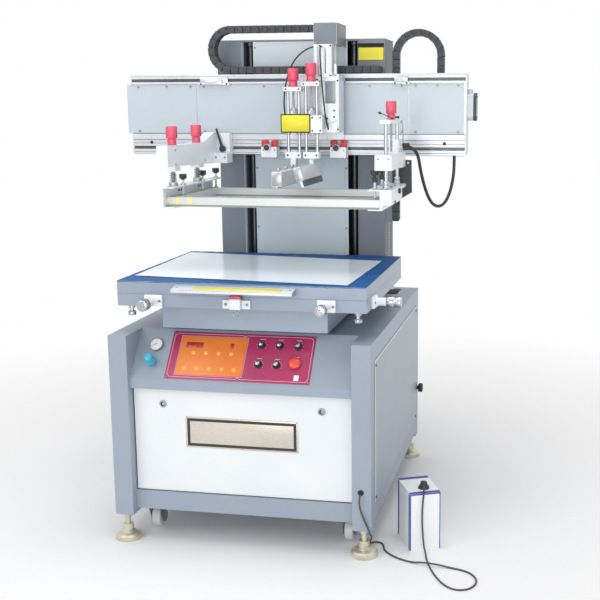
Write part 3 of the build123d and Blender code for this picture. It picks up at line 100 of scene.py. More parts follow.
def stretched(tree, place, stretch):
    mapping = tree.nodes.new("ShaderNodeMapping")
    mapping.inputs["Scale"].default_value = stretch
    tree.links.new(place, mapping.inputs["Vector"])
    return mapping.outputs["Vector"]


def cloud(tree, place, scale, detail=2.0):
    spots = tree.nodes.new("ShaderNodeTexNoise")
    spots.inputs["Scale"].default_value = scale
    spots.inputs["Detail"].default_value = detail
    tree.links.new(place, spots.inputs["Vector"])
    return spots.outputs["Fac"]


def spread(tree, value, low, high, toLow, toHigh):
    span = tree.nodes.new("ShaderNodeMapRange")
    for socket, number in zip(("From Min", "From Max", "To Min", "To Max"), (low, high, toLow, toHigh)):
        span.inputs[socket].default_value = number
    tree.links.new(value, span.inputs["Value"])
    return span.outputs["Result"]


def between(tree, value, first, second):
    # each colour may be a tuple or the output of another node
    mix = tree.nodes.new("ShaderNodeMix")
    mix.data_type = "RGBA"
    tree.links.new(value, mix.inputs[0])
    for socket, colour in ((mix.inputs[6], first), (mix.inputs[7], second)):
        if isinstance(colour, tuple):
            socket.default_value = (*colour, 1)
        else:
            tree.links.new(colour, socket)
    return mix.outputs[2]


def sums(tree, kind, first, second):
    node = tree.nodes.new("ShaderNodeMath")
    node.operation = kind
    for socket, value in zip(node.inputs, (first, second)):
        if isinstance(value, (int, float)):
            socket.default_value = value
        else:
            tree.links.new(value, socket)
    return node.outputs["Value"]


def wornEdge(tree, radius):
    # 1 on outer edges and corners, 0 on flat faces, with the rounded normal beside it
    soft = tree.nodes.new("ShaderNodeBevel")
    soft.samples = 4
    soft.inputs["Radius"].default_value = radius
    flat = tree.nodes.new("ShaderNodeNewGeometry")
    dot = tree.nodes.new("ShaderNodeVectorMath")
    dot.operation = "DOT_PRODUCT"
    tree.links.new(soft.outputs["Normal"], dot.inputs[0])
    tree.links.new(flat.outputs["Normal"], dot.inputs[1])
    return spread(tree, dot.outputs["Value"], 0.98, 0.86, 0.0, 1.0), soft.outputs["Normal"]


def bumped(tree, shader, height, depth, normal=None):
    bump = tree.nodes.new("ShaderNodeBump")
    bump.inputs["Strength"].default_value = 1.0
    bump.inputs["Distance"].default_value = depth
    tree.links.new(height, bump.inputs["Height"])
    if normal is not None:
        tree.links.new(normal, bump.inputs["Normal"])
    tree.links.new(bump.outputs["Normal"], shader.inputs["Normal"])


def makeFinish(name, look):
    finish, tree, shader, place = newFinish(name)
    run = stretched(tree, place, look.get("stretch", (1, 1, 1)))
    patches = cloud(tree, place, look.get("patches", 5), 3.0)
    grain = cloud(tree, run, look["grain"], 2.0)
    tone = between(tree, spread(tree, patches, 0.35, 0.65, 0, 1), look["colour"], look["shade"])
    fleck = spread(tree, grain, 0.42, 0.62, 0, look.get("fleck", 0.12))
    # specks along the grain take the shade colour; the film's specks are lighter, painted glints of its creases
    tone = between(tree, fleck, tone, look.get("paintedGlintColour", look["shade"]))
    edge, rounded = wornEdge(tree, look.get("edge", 0.0012))
    rub = sums(tree, "MULTIPLY", edge, spread(tree, cloud(tree, place, 60, 3.0), 0.4, 0.7, 0, look.get("wear", 0.5)))
    tone = between(tree, rub, tone, look.get("bare", look["colour"]))
    tree.links.new(tone, shader.inputs["Base Color"])
    rough = look["rough"]
    tree.links.new(spread(tree, grain, 0.3, 0.7, rough[0], rough[1]), shader.inputs["Roughness"])
    shader.inputs["Metallic"].default_value = look.get("metal", 0.0)
    shader.inputs["Specular IOR Level"].default_value = look.get("gloss", 0.5)
    shader.inputs["Coat Weight"].default_value = look.get("coat", 0.0)
    shader.inputs["Coat Roughness"].default_value = look.get("coatRough", 0.15)
    bumped(tree, shader, grain, look.get("depth", 0.00003), rounded)
    return finish


# One dictionary for each finish; colours are linear
finishLooks = {
    "cabinetPaint": {"colour": (0.325, 0.385, 0.462), "shade": (0.31, 0.368, 0.444), "bare": (0.42, 0.47, 0.54),
                     "grain": 900, "rough": (0.34, 0.48), "depth": 0.00004, "wear": 0.4},
    "sidePaint": {"colour": (0.335, 0.388, 0.447), "shade": (0.318, 0.37, 0.428), "bare": (0.6, 0.66, 0.72),
                  "grain": 900, "rough": (0.30, 0.42), "depth": 0.00004, "wear": 0.4},
    "panelPaint": {"colour": (0.82, 0.85, 0.87), "shade": (0.78, 0.815, 0.84), "bare": (0.86, 0.87, 0.88),
                   "grain": 800, "rough": (0.32, 0.45), "depth": 0.00004},
    "pillarPaint": {"colour": (0.205, 0.235, 0.275), "shade": (0.19, 0.22, 0.258), "bare": (0.2, 0.22, 0.25),
                    "grain": 1000, "rough": (0.38, 0.52), "depth": 0.00005},
    # the beam cover's paint made lighter for the column cover: painted light where the column stands in shade
    "coverPaintLit": {"colour": (0.67, 0.76, 0.81), "shade": (0.65, 0.74, 0.795), "bare": (0.68, 0.75, 0.79),
                    "grain": 800, "rough": (0.26, 0.36), "coat": 0.2},
    "coverPaint": {"colour": (0.52, 0.60, 0.645), "shade": (0.50, 0.58, 0.63), "bare": (0.62, 0.70, 0.75),
                   "grain": 800, "rough": (0.22, 0.32), "coat": 0.3},
    "beamMetal": {"colour": (0.62, 0.65, 0.68), "shade": (0.54, 0.57, 0.60), "bare": (0.85, 0.86, 0.88), "grain": 260,
                  "stretch": (0.02, 1, 1), "rough": (0.26, 0.40), "metal": 0.55},
    "armMetal": {"colour": (0.86, 0.90, 0.93), "shade": (0.81, 0.85, 0.885), "bare": (0.88, 0.89, 0.9), "grain": 500,
                 "stretch": (1, 0.06, 1), "rough": (0.28, 0.42), "metal": 0.1},
    "carriageMetal": {"colour": (0.78, 0.81, 0.84), "shade": (0.72, 0.75, 0.78), "bare": (0.9, 0.9, 0.92),
                      "grain": 420, "stretch": (1, 1, 0.08), "fleck": 0.08, "rough": (0.26, 0.42), "metal": 0.3},
    "tableSide": {"colour": (0.33, 0.385, 0.465), "shade": (0.29, 0.345, 0.425), "bare": (0.62, 0.66, 0.7),
                  "grain": 500, "stretch": (0.08, 0.08, 1), "rough": (0.30, 0.42), "metal": 0.25},
    "chromeFinish": {"colour": (0.50, 0.52, 0.54), "shade": (0.42, 0.44, 0.46), "bare": (0.9, 0.9, 0.92),
                     "grain": 700, "stretch": (1, 1, 0.1), "rough": (0.08, 0.2), "depth": 0.00001, "metal": 1.0},
    # very dark steel: painted shade on the guide shafts in the column's slot and at the bottom of the beam's grooves
    "paintedShadeSteel": {"colour": (0.11, 0.115, 0.125), "shade": (0.08, 0.084, 0.092), "grain": 500,
                     "stretch": (1, 1, 0.1), "rough": (0.25, 0.4), "depth": 0.00002, "metal": 0.8},
    # painted shade for the edges of the screen frame
    "frameShade": {"colour": (0.33, 0.35, 0.29), "shade": (0.28, 0.30, 0.245), "grain": 400, "stretch": (0.1, 0.1, 1),
                   "rough": (0.4, 0.55)},
    "zincFinish": {"colour": (0.72, 0.69, 0.56), "shade": (0.58, 0.55, 0.44), "bare": (0.86, 0.84, 0.74),
                   "grain": 300, "patches": 30, "rough": (0.25, 0.45), "depth": 0.00005, "metal": 0.6, "wear": 0.7},
    "forkFinish": {"colour": (0.36, 0.37, 0.39), "shade": (0.26, 0.27, 0.29), "bare": (0.6, 0.6, 0.6), "grain": 300,
                   "patches": 30, "rough": (0.25, 0.42), "depth": 0.00004, "metal": 0.85},
    "wheelPlastic": {"colour": (0.72, 0.72, 0.71), "shade": (0.62, 0.62, 0.61), "grain": 600, "rough": (0.4, 0.55),
                     "depth": 0.00006},
    "blackPlastic": {"colour": (0.020, 0.021, 0.024), "shade": (0.028, 0.029, 0.032), "bare": (0.07, 0.07, 0.075),
                     "grain": 900, "fleck": 0.3, "rough": (0.32, 0.46), "depth": 0.00005},
    "chainPlastic": {"colour": (0.036, 0.040, 0.048), "shade": (0.050, 0.054, 0.062), "bare": (0.10, 0.105, 0.115),
                     "grain": 700, "fleck": 0.3, "rough": (0.42, 0.56), "depth": 0.00006},
    "hoseRubber": {"colour": (0.020, 0.021, 0.024), "shade": (0.030, 0.031, 0.034), "grain": 1200, "fleck": 0.3,
                   "rough": (0.36, 0.5)},
    "cordRubber": {"colour": (0.045, 0.048, 0.055), "shade": (0.065, 0.068, 0.075), "grain": 1400, "fleck": 0.3,
                   "rough": (0.4, 0.55)},
    "redAnodised": {"colour": (0.82, 0.135, 0.215), "shade": (0.74, 0.09, 0.16), "bare": (0.85, 0.25, 0.28),
                    "grain": 500, "stretch": (1, 1, 0.2), "rough": (0.24, 0.38), "metal": 0.3},
    "screenPaint": {"colour": (0.70, 0.72, 0.71), "shade": (0.64, 0.66, 0.65), "bare": (0.86, 0.86, 0.84),
                    "grain": 500, "stretch": (0.1, 0.1, 1), "rough": (0.3, 0.45), "depth": 0.00004, "metal": 0.3},
    "controlPlastic": {"colour": (0.46, 0.035, 0.13), "shade": (0.40, 0.027, 0.11), "grain": 900,
                       "rough": (0.25, 0.36)},
    "keypadPlastic": {"colour": (0.88, 0.25, 0.045), "shade": (0.82, 0.20, 0.03), "grain": 900, "rough": (0.3, 0.4)},
    "keyPlastic": {"colour": (0.95, 0.52, 0.11), "shade": (0.90, 0.45, 0.08), "grain": 900, "rough": (0.25, 0.35)},
    "linePaint": {"colour": (0.86, 0.62, 0.72), "shade": (0.80, 0.55, 0.66), "grain": 900, "rough": (0.3, 0.4),
                  "depth": 0.00002},
    "whitePaint": {"colour": (0.86, 0.87, 0.88), "shade": (0.80, 0.81, 0.83), "grain": 900, "rough": (0.3, 0.42)},
    "stopPlastic": {"colour": (0.82, 0.075, 0.04), "shade": (0.74, 0.06, 0.03), "grain": 600, "rough": (0.16, 0.26),
                    "depth": 0.00002, "coat": 0.4},
    "cyanPlastic": {"colour": (0.045, 0.46, 0.62), "shade": (0.035, 0.40, 0.56), "grain": 600, "rough": (0.2, 0.32),
                    "coat": 0.2},
    "displayRed": {"colour": (0.42, 0.02, 0.01), "shade": (0.34, 0.015, 0.01), "grain": 700, "rough": (0.12, 0.2),
                   "depth": 0.00001, "coat": 0.5},
    "digitRed": {"colour": (0.95, 0.08, 0.04), "shade": (0.9, 0.06, 0.03), "grain": 700, "rough": (0.3, 0.4),
                 "depth": 0.00001},
    "yellowLabel": {"colour": (0.88, 0.78, 0.045), "shade": (0.84, 0.73, 0.035), "grain": 700, "rough": (0.3, 0.42),
                    "depth": 0.00002},
    "stripYellow": {"colour": (0.88, 0.80, 0.02), "shade": (0.80, 0.72, 0.02), "grain": 500, "patches": 40,
                    "rough": (0.35, 0.5), "depth": 0.00004},
    "platePolish": {"colour": (0.66, 0.62, 0.54), "shade": (0.60, 0.56, 0.485), "grain": 900, "stretch": (0.05, 1, 1),
                    "fleck": 0.06, "rough": (0.24, 0.38), "depth": 0.00002, "metal": 0.4},
    "plateBorder": {"colour": (0.028, 0.022, 0.024), "shade": (0.04, 0.032, 0.034), "grain": 600,
                    "rough": (0.3, 0.42), "depth": 0.00002},
    # lighter specks on the film: painted glints of its creases
    "filmBlue": {"colour": (0.004, 0.105, 0.33), "shade": (0.004, 0.075, 0.26), "paintedGlintColour": (0.10, 0.24, 0.58),
                 "grain": 160, "patches": 16, "fleck": 0.10, "rough": (0.45, 0.65), "depth": 0.0004, "gloss": 0.2},
    "sheetWhite": {"colour": (0.86, 0.93, 0.98), "shade": (0.84, 0.91, 0.965), "grain": 300, "rough": (0.5, 0.62),
                   "coat": 0.6, "coatRough": 0.12},
    "cartonWhite": {"colour": (0.92, 0.93, 0.95), "shade": (0.89, 0.90, 0.925), "grain": 260, "stretch": (1, 1, 0.3),
                    "rough": (0.5, 0.65), "depth": 0.00006},
    "cartonBlue": {"colour": (0.045, 0.06, 0.36), "shade": (0.06, 0.08, 0.42), "grain": 260, "rough": (0.45, 0.6),
                   "depth": 0.00004},
    "bladeRubber": {"colour": (0.10, 0.11, 0.12), "shade": (0.13, 0.14, 0.15), "grain": 600, "rough": (0.35, 0.5)},
    "screwMetal": {"colour": (0.46, 0.47, 0.48), "shade": (0.38, 0.39, 0.40), "bare": (0.85, 0.85, 0.86),
                   "grain": 700, "rough": (0.22, 0.36), "depth": 0.00002, "metal": 0.85},
    "stopRed": {"colour": (0.66, 0.03, 0.035), "shade": (0.56, 0.02, 0.025), "bare": (0.8, 0.3, 0.3), "grain": 700,
                "rough": (0.28, 0.4)},
    "glueBand": {"colour": (0.52, 0.55, 0.56), "shade": (0.42, 0.46, 0.48), "grain": 240, "patches": 26,
                 "rough": (0.3, 0.5), "depth": 0.0001},
    "tapeYellow": {"colour": (0.86, 0.80, 0.42), "shade": (0.80, 0.74, 0.38), "grain": 400, "rough": (0.4, 0.55)},
    "shadowGap": {"colour": (0.02, 0.022, 0.026), "shade": (0.03, 0.032, 0.036), "grain": 600, "rough": (0.5, 0.65),
                  "gloss": 0.15},
}
finishes = {name: makeFinish(name, look) for name, look in finishLooks.items()}


meshLook = {"thread": (0.60, 0.63, 0.65), "gap": (0.40, 0.43, 0.46), "count": 3200, "solid": (0.52, 0.80)}


def makeMeshFinish(look):
    # woven threads in both directions; the open part between them lets the view through
    finish, tree, shader, place = newFinish("meshFabric")
    waves = []
    for direction in ("X", "Y"):
        wave = tree.nodes.new("ShaderNodeTexWave")
        wave.bands_direction = direction
        wave.inputs["Scale"].default_value = look["count"] / 6.2832
        tree.links.new(place, wave.inputs["Vector"])
        waves.append(wave.outputs["Fac"])
    weave = sums(tree, "MAXIMUM", *waves)
    stain = spread(tree, cloud(tree, place, 9, 4.0), 0.35, 0.7, 0.0, 0.35)
    tone = between(tree, weave, look["gap"], look["thread"])
    tone = between(tree, stain, tone, (0.5, 0.49, 0.47))
    tree.links.new(tone, shader.inputs["Base Color"])
    tree.links.new(spread(tree, weave, 0, 1, look["solid"][0], look["solid"][1]), shader.inputs["Alpha"])
    tree.links.new(spread(tree, stain, 0, 0.35, 0.22, 0.4), shader.inputs["Roughness"])
    bumped(tree, shader, weave, 0.00004)
    return finish


finishes["meshFabric"] = makeMeshFinish(meshLook)
print("finishes made:", len(finishes))

# Finishes of the parts that keep their shape
partFinishes = {
    "cabinetPaint": ["cabinet_frame", "console_panel"],
    "sidePaint": ["cabinet_panels"],
    "panelPaint": ["front_panel"],
    "chromeFinish": ["cam_lock_left", "cam_lock_right", "table_knob_left", "table_knob_right", "table_knob_side",
                     "table_lock_pin", "cross_slide"],
    "zincFinish": ["foot_front_left", "foot_front_right", "foot_rear_left", "foot_rear_right"],
    "forkFinish": ["caster_fork_front_left", "caster_fork_front_right", "caster_forks_rear"],
    "wheelPlastic": ["caster_wheel_front_left", "caster_wheel_front_right", "caster_wheel_rear_left",
                     "caster_wheel_rear_right"],
    "tableSide": ["table_pedestal", "table_top"],
    "pillarPaint": ["column_frame"],
    "coverPaintLit": ["column_cover"],
    "coverPaint": ["beam_cover"],
    "beamMetal": ["beam"],
    "armMetal": ["left_arm", "left_channel", "right_arm", "right_channel", "left_limit_stop", "right_limit_stop"],
    "carriageMetal": ["carriage", "flood_unit", "squeegee_unit", "squeegee_holder"],
    "redAnodised": ["left_height_knob_front", "left_height_knob_rear", "right_height_knob", "flood_knob",
                    "squeegee_knob"],
    "blackPlastic": ["clamp_lever", "console_knob_1", "console_knob_2", "console_knob_3", "console_knob_4",
                     "console_knob_5"],
    "chainPlastic": ["beam_chain", "lift_chain"],
    "screenPaint": ["screen_frame", "screen_mesh"],
    "controlPlastic": ["control_panel"],
    "stopPlastic": ["stop_button"],
    "cyanPlastic": ["regulator_knob"],
    "cartonWhite": ["foot_switch_box"],
    "hoseRubber": ["arm_hose", "carriage_hoses"],
    "cordRubber": ["foot_switch_cord"],
}
for finishName, nodeNames in partFinishes.items():
    for nodeName in nodeNames:
        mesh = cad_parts[nodeName].data
        mesh.materials.clear()
        mesh.materials.append(finishes[finishName])

# Cords and hoses; a route is in metres, and the one with "from" becomes a mesh tube with no body
cordLooks = {
    "footSwitchCord": {
        "stands": "foot_switch_cord", "body": "cabinet", "finish": "cordRubber", "length": 1.489, "diameter": 0.006,
        "stiffness": "limp", "lay": "loose",
        "route": [
            (0.415, -0.494, 0.232), (0.415, -0.518, 0.232), (0.415, -0.534, 0.224), (0.415, -0.54, 0.206),
            (0.417, -0.534, 0.184), (0.4215, -0.526, 0.162), (0.429, -0.5205, 0.138), (0.439, -0.52, 0.116),
            (0.447, -0.52, 0.093), (0.447, -0.498, 0.078), (0.444, -0.472, 0.064), (0.438, -0.446, 0.047),
            (0.433, -0.43, 0.033), (0.426, -0.416, 0.02), (0.4215, -0.4015, 0.0085), (0.426, -0.386, 0.0035),
            (0.4395, -0.376, 0.003), (0.456, -0.3775, 0.003), (0.469, -0.392, 0.003), (0.474, -0.412, 0.003),
            (0.48, -0.434, 0.003), (0.499, -0.462, 0.003), (0.536, -0.493, 0.003), (0.586, -0.515, 0.003),
            (0.622, -0.524, 0.0105), (0.668, -0.53, 0.0105), (0.716, -0.532, 0.003), (0.768, -0.547, 0.003),
            (0.802, -0.582, 0.003), (0.811, -0.63, 0.003), (0.789, -0.676, 0.003), (0.745, -0.687, 0.003),
            (0.705, -0.654, 0.003), (0.673, -0.598, 0.003), (0.646, -0.534, 0.003), (0.629, -0.476, 0.003),
            (0.6217, -0.4385, 0.0045), (0.6155, -0.4259, 0.014), (0.6121, -0.4219, 0.032),
            (0.6094, -0.4221, 0.066), (0.6072, -0.422, 0.11), (0.6077, -0.4217, 0.155), (0.6103, -0.4216, 0.188),
            (0.6118, -0.4199, 0.204), (0.6115, -0.4118, 0.216), (0.61, -0.3999, 0.2215),
            (0.6088, -0.3862, 0.2195), (0.6071, -0.3738, 0.214),
        ],
    },
    "armHose": {
        "stands": "arm_hose", "body": "head", "finish": "hoseRubber", "length": 0.559, "diameter": 0.012,
        "stiffness": "medium", "lay": "hanging", "from": "right_arm",
        "route": [
            (0.4585, 0.084, 1.34), (0.4785, 0.084, 1.34), (0.4965, 0.0895, 1.3325), (0.509, 0.1, 1.315),
            (0.514, 0.115, 1.292), (0.516, 0.134, 1.262), (0.52, 0.156, 1.226), (0.527, 0.178, 1.188),
            (0.536, 0.198, 1.153), (0.547, 0.217, 1.126), (0.561, 0.234, 1.11), (0.576, 0.25, 1.107),
            (0.59, 0.265, 1.115), (0.6015, 0.279, 1.133), (0.611, 0.292, 1.16), (0.6185, 0.302, 1.195),
            (0.624, 0.309, 1.24), (0.624, 0.309, 1.3),
        ],
    },
    "floodHose": {
        "stands": "carriage_hoses", "body": "carriage", "finish": "hoseRubber", "length": 0.304, "diameter": 0.006,
        "stiffness": "medium", "lay": "hanging",
        "route": [
            (0.107, 0.178, 1.706), (0.09, 0.176, 1.702), (0.066, 0.172, 1.689), (0.042, 0.167, 1.668),
            (0.022, 0.163, 1.638), (0.007, 0.16, 1.6), (-0.003, 0.158, 1.556), (-0.008, 0.157, 1.51),
            (-0.007, 0.156, 1.474), (-0.004, 0.1555, 1.452),
        ],
    },
    "squeegeeHose": {
        "stands": "carriage_hoses", "body": "carriage", "finish": "hoseRubber", "length": 0.339, "diameter": 0.006,
        "stiffness": "medium", "lay": "hanging",
        "route": [
            (0.138, 0.168, 1.705), (0.138, 0.154, 1.705), (0.1385, 0.1415, 1.7005), (0.1395, 0.133, 1.69),
            (0.1405, 0.129, 1.674), (0.1415, 0.129, 1.65), (0.143, 0.131, 1.61), (0.146, 0.134, 1.56),
            (0.15, 0.138, 1.505), (0.154, 0.143, 1.46), (0.157, 0.152, 1.425), (0.16, 0.17, 1.4),
        ],
    },
}


def makeCord(name, look):
    curve = bpy.data.curves.new(name, "CURVE")
    curve.dimensions = "3D"
    curve.resolution_u = 8
    curve.bevel_depth = look["diameter"] / 2
    curve.bevel_resolution = 5
    curve.use_fill_caps = True
    line = curve.splines.new("NURBS")
    line.points.add(len(look["route"]) - 1)
    for point, spot in zip(line.points, look["route"]):
        point.co = (*spot, 1)
    line.order_u = 3
    line.use_endpoint_u = True
    curve.materials.append(finishes[look["finish"]])
    cord = bpy.data.objects.new(name, curve)
    bpy.context.scene.collection.objects.link(cord)
    if "from" in look:
        # it becomes a mesh tube, baked in place and joined to no body
        tube = bpy.data.meshes.new_from_object(cord)
        curve.bevel_depth = 0
        bpy.context.view_layer.update()
        middle = bpy.data.meshes.new_from_object(cord)
        bpy.data.objects.remove(cord)
        tube.shade_smooth()
        cord = bpy.data.objects.new(name, tube)
        bpy.context.scene.collection.objects.link(cord)
        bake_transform(cord)
    else:
        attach(cord, look["body"])
    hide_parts(look["stands"])
    return cord


cords = {name: makeCord(name, look) for name, look in cordLooks.items()}
print("cords laid:", len(cords))


# Mesh tools; sizes are in the millimetres of the given place
def softenEdges(bm, edges, soft):
    bmesh.ops.bevel(bm, geom=list(edges), offset=soft / 1000, segments=2, profile=0.5, affect="EDGES")


def addBlock(bm, x, y, z, soft=0.8, place=machine):
    made = bmesh.ops.create_cube(bm, size=1)["verts"]
    middle = Vector([(low + high) / 2 for low, high in (x, y, z)])
    size = Matrix.Diagonal((x[1] - x[0], y[1] - y[0], z[1] - z[0], 1))
    bmesh.ops.transform(bm, matrix=place @ Matrix.Translation(middle) @ size, verts=made)
    if soft:
        softenEdges(bm, {edge for vert in made for edge in vert.link_edges}, soft)


def addTurned(bm, profile, spot, way=(0, 0, 1), steps=32, place=machine):
    # profile rows are (radius, height) or (radius, height, rib depth), from the foot up; one that ends
    # where it starts makes a ring
    stand = Matrix.Translation(spot) @ Vector((0, 0, 1)).rotation_difference(Vector(way)).to_matrix().to_4x4()
    stand = place @ stand
    rings = []
    for radius, height, *ribs in profile:
        if radius <= 0:
            rings.append([bm.verts.new(stand @ Vector((0, 0, height)))])
            continue
        ring = []
        for i in range(steps):
            turn = 2 * math.pi * i / steps
            reach = radius - (ribs[0] if ribs and i % 2 else 0)
            ring.append(bm.verts.new(stand @ Vector((reach * math.cos(turn), reach * math.sin(turn), height))))
        rings.append(ring)
    for low, high in zip(rings, rings[1:]):
        for i in range(steps):
            j = (i + 1) % steps
            if len(low) == 1:
                bm.faces.new((low[0], high[j], high[i]))
            elif len(high) == 1:
                bm.faces.new((low[i], low[j], high[0]))
            else:
                bm.faces.new((low[i], low[j], high[j], high[i]))
    if profile[0][:2] == profile[-1][:2]:
        bmesh.ops.remove_doubles(bm, verts=rings[0] + rings[-1], dist=1e-6)
        return
    for ring, flip in ((rings[0], True), (rings[-1], False)):
        if len(ring) > 1:
            bm.faces.new(ring[::-1] if flip else ring)


def arcSpots(x, y, radius, first, step, count):
    # points round a middle, with angles in degrees
    turns = [math.radians(first + step * k) for k in range(count)]
    return [(x + radius * math.cos(a), y + radius * math.sin(a)) for a in turns]


def addPrism(bm, outline, low, high, place=machine, soft=0.0):
    # an outline in the place's X and Y, raised along its Z
    foot = [bm.verts.new(place @ Vector((x, y, low))) for x, y in outline]
    head = [bm.verts.new(place @ Vector((x, y, high))) for x, y in outline]
    count = len(outline)
    faces = [bm.faces.new(foot[::-1]), bm.faces.new(head)]
    for i in range(count):
        j = (i + 1) % count
        faces.append(bm.faces.new((foot[i], foot[j], head[j], head[i])))
    if soft:
        softenEdges(bm, {edge for face in faces for edge in face.edges}, soft)


def addLine(bm, points, width, low, high, place=machine):
    # a closed flat line of even width along straight runs, mitred at its corners
    spots = [Vector(point) for point in points]
    count = len(spots)
    sides = [[], []]
    for i, here in enumerate(spots):
        runs = [(here - spots[i - 1]).normalized(), (spots[(i + 1) % count] - here).normalized()]
        across = [Vector((-run.y, run.x)) for run in runs]
        normal = (across[0] + across[1]).normalized()
        reach = width / 2 / max(normal.dot(across[0]), 0.3)
        sides[0].append(here + normal * reach)
        sides[1].append(here - normal * reach)
    for i in range(count):
        j = (i + 1) % count
        addPrism(bm, [sides[0][i], sides[1][i], sides[1][j], sides[0][j]], low, high, place)


def addWire(bm, points, radius, steps=8, place=machine):
    # a round bar through the points, with square ends
    spots = [place @ Vector(point) for point in points]
    thick = radius * place.to_scale().x
    rings = []
    side = None
    for i, spot in enumerate(spots):
        run = (spots[min(i + 1, len(spots) - 1)] - spots[max(i - 1, 0)]).normalized()
        side = side or run.orthogonal().normalized()
        side = (side - run * side.dot(run)).normalized()
        other = run.cross(side)
        turns = [2 * math.pi * k / steps for k in range(steps)]
        rings.append([bm.verts.new(spot + thick * (math.cos(a) * side + math.sin(a) * other)) for a in turns])
    for low, high in zip(rings, rings[1:]):
        for k in range(steps):
            m = (k + 1) % steps
            bm.faces.new((low[k], low[m], high[m], high[k]))
    bm.faces.new(rings[0][::-1])
    bm.faces.new(rings[-1])


def addSheet(bm, rows):
    # faces between rows of points
    for low, high in zip(rows, rows[1:]):
        for i in range(len(low) - 1):
            bm.faces.new((low[i], low[i + 1], high[i + 1], high[i]))


def addScrew(bm, spot, way, radius=3.0, height=1.6, place=machine):
    # a round head with a hollow for the key
    addTurned(bm, [(radius, -0.5), (radius, height * 0.6), (radius * 0.82, height), (radius * 0.5, height),
                   (radius * 0.42, height * 0.35), (0, height * 0.35)], spot, way, 16, place)


def addThread(bm, x, y, low, high, radius, pitch=2.0):
    core = radius * 0.84
    rows = [(core, low)]
    level = low
    while level + pitch < high:
        rows += [(core, level + pitch * 0.2), (radius, level + pitch * 0.5), (core, level + pitch * 0.8)]
        level += pitch
    rows.append((core, high))
    addTurned(bm, rows, (x, y, 0), steps=20)


def keepPiece(name, bm, body, finish, slot, stands=(), smooth=34):
    mesh = bpy.data.meshes.new(name)
    bmesh.ops.recalc_face_normals(bm, faces=bm.faces[:])
    bm.to_mesh(mesh)
    bm.free()
    mesh.shade_smooth()
    mesh.set_sharp_from_angle(angle=math.radians(smooth))
    mesh.materials.append(finishes[finish])
    piece = bpy.data.objects.new(name, mesh)
    bpy.context.scene.collection.objects.link(piece)
    if body:
        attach(piece, body)
    if stands:
        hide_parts(*stands)
    return piece


def keepBlocks(name, rows, soft, place, body, finish, slot):
    # a piece of plain blocks, each row their X, Y and Z
    bm = bmesh.new()
    for x, y, z in rows:
        addBlock(bm, x, y, z, soft, place)
    return keepPiece(name, bm, body, finish, slot)


def keepScrews(name, spots, way, radius, height, place, body, finish, slot):
    bm = bmesh.new()
    for spot in spots:
        addScrew(bm, spot, way, radius, height, place)
    return keepPiece(name, bm, body, finish, slot)


def plane(x, y, z, right, up):
    # a drawing plane: right and up are unit directions, and its Z comes towards the viewer
    right, up = Vector(right), Vector(up)
    face = Matrix((right, up, right.cross(up))).transposed().to_4x4()
    face.translation = Vector((x, y, z))
    return machine @ face


def facing(y):
    # an upright plane that faces the operator: X right, Y up
    return plane(0, y, 0, (1, 0, 0), (0, 0, 1))


def wallOf(x, side=1):
    # an upright plane on a side of the machine: X to the back on the right side, Y up
    return plane(x, 0, 0, (0, side, 0), (0, 0, 1))


out = (0, 0, 1)  # out of a drawing plane

# Finish and colour slot of the pieces that come often
blackParts = "blackPlastic", "black_plastic"
steelParts = "forkFinish", "caster_grey"
chromeParts = "chromeFinish", "chrome"
screwParts = "screwMetal", "chrome"
gapParts = "shadowGap", "black_plastic"

# The console's slope: X right, Y up the slope
slopeRun, slopeRise = 126.0, 153.0
slopeLong = math.hypot(slopeRun, slopeRise)
slope = machine @ Matrix((
    (1, 0, 0, 0),
    (0, slopeRun / slopeLong, -slopeRise / slopeLong, 14),
    (0, slopeRise / slopeLong, slopeRun / slopeLong, 577),
    (0, 0, 0, 1),
))
panelLook = {
    "plate": (-264, 240, 10, 188),
    "lineInset": 7.5,
    "cornerCut": 9,
    "notch": -8,
    "screwInset": 6,
    "keypad": (-229, 4, 27, 170),
    "keys": ((-178, 109, 4, 44.5), (-199, 51, 5, 43.5)),  # first X, Y, count, pitch
    "display": (-209, -149, 128, 148),
    "digitBox": (-53, -41, 130, 148),
    "lamps": (-134, 139, 5, 16),
    "figures": "0125",
    "dials": ((56, 146), (120, 146), (184, 146), (56, 74), (119, 74)),
    "dash": (172, 192, 106, 108.4),
    "sticker": (184, 201, 22, 42),
    "gauge": (-314, 131),
    "needle": 200,
}
digitStrokes = {"0": "abcdef", "1": "bc", "2": "abged", "5": "afgcd"}  # lit strokes of a seven-stroke figure


def addDigit(bm, figure, x, s, wide, tall, low, high):
    half, near, thick = tall / 2, 0.5, 0.6
    strokes = {
        "a": ((0, tall), (wide, tall)), "b": ((wide, half), (wide, tall)), "c": ((wide, 0), (wide, half)),
        "d": ((0, 0), (wide, 0)), "e": ((0, 0), (0, half)), "f": ((0, half), (0, tall)), "g": ((0, half), (wide, half)),
    }
    for name in digitStrokes[figure]:
        (ax, ay), (bx, by) = strokes[name]
        if ay == by:
            spans = (x + ax + near, x + bx - near), (s + ay - thick, s + ay + thick)
        else:
            spans = (x + ax - thick, x + ax + thick), (s + ay + near, s + by - near)
        addBlock(bm, *spans, (low, high), 0, slope)


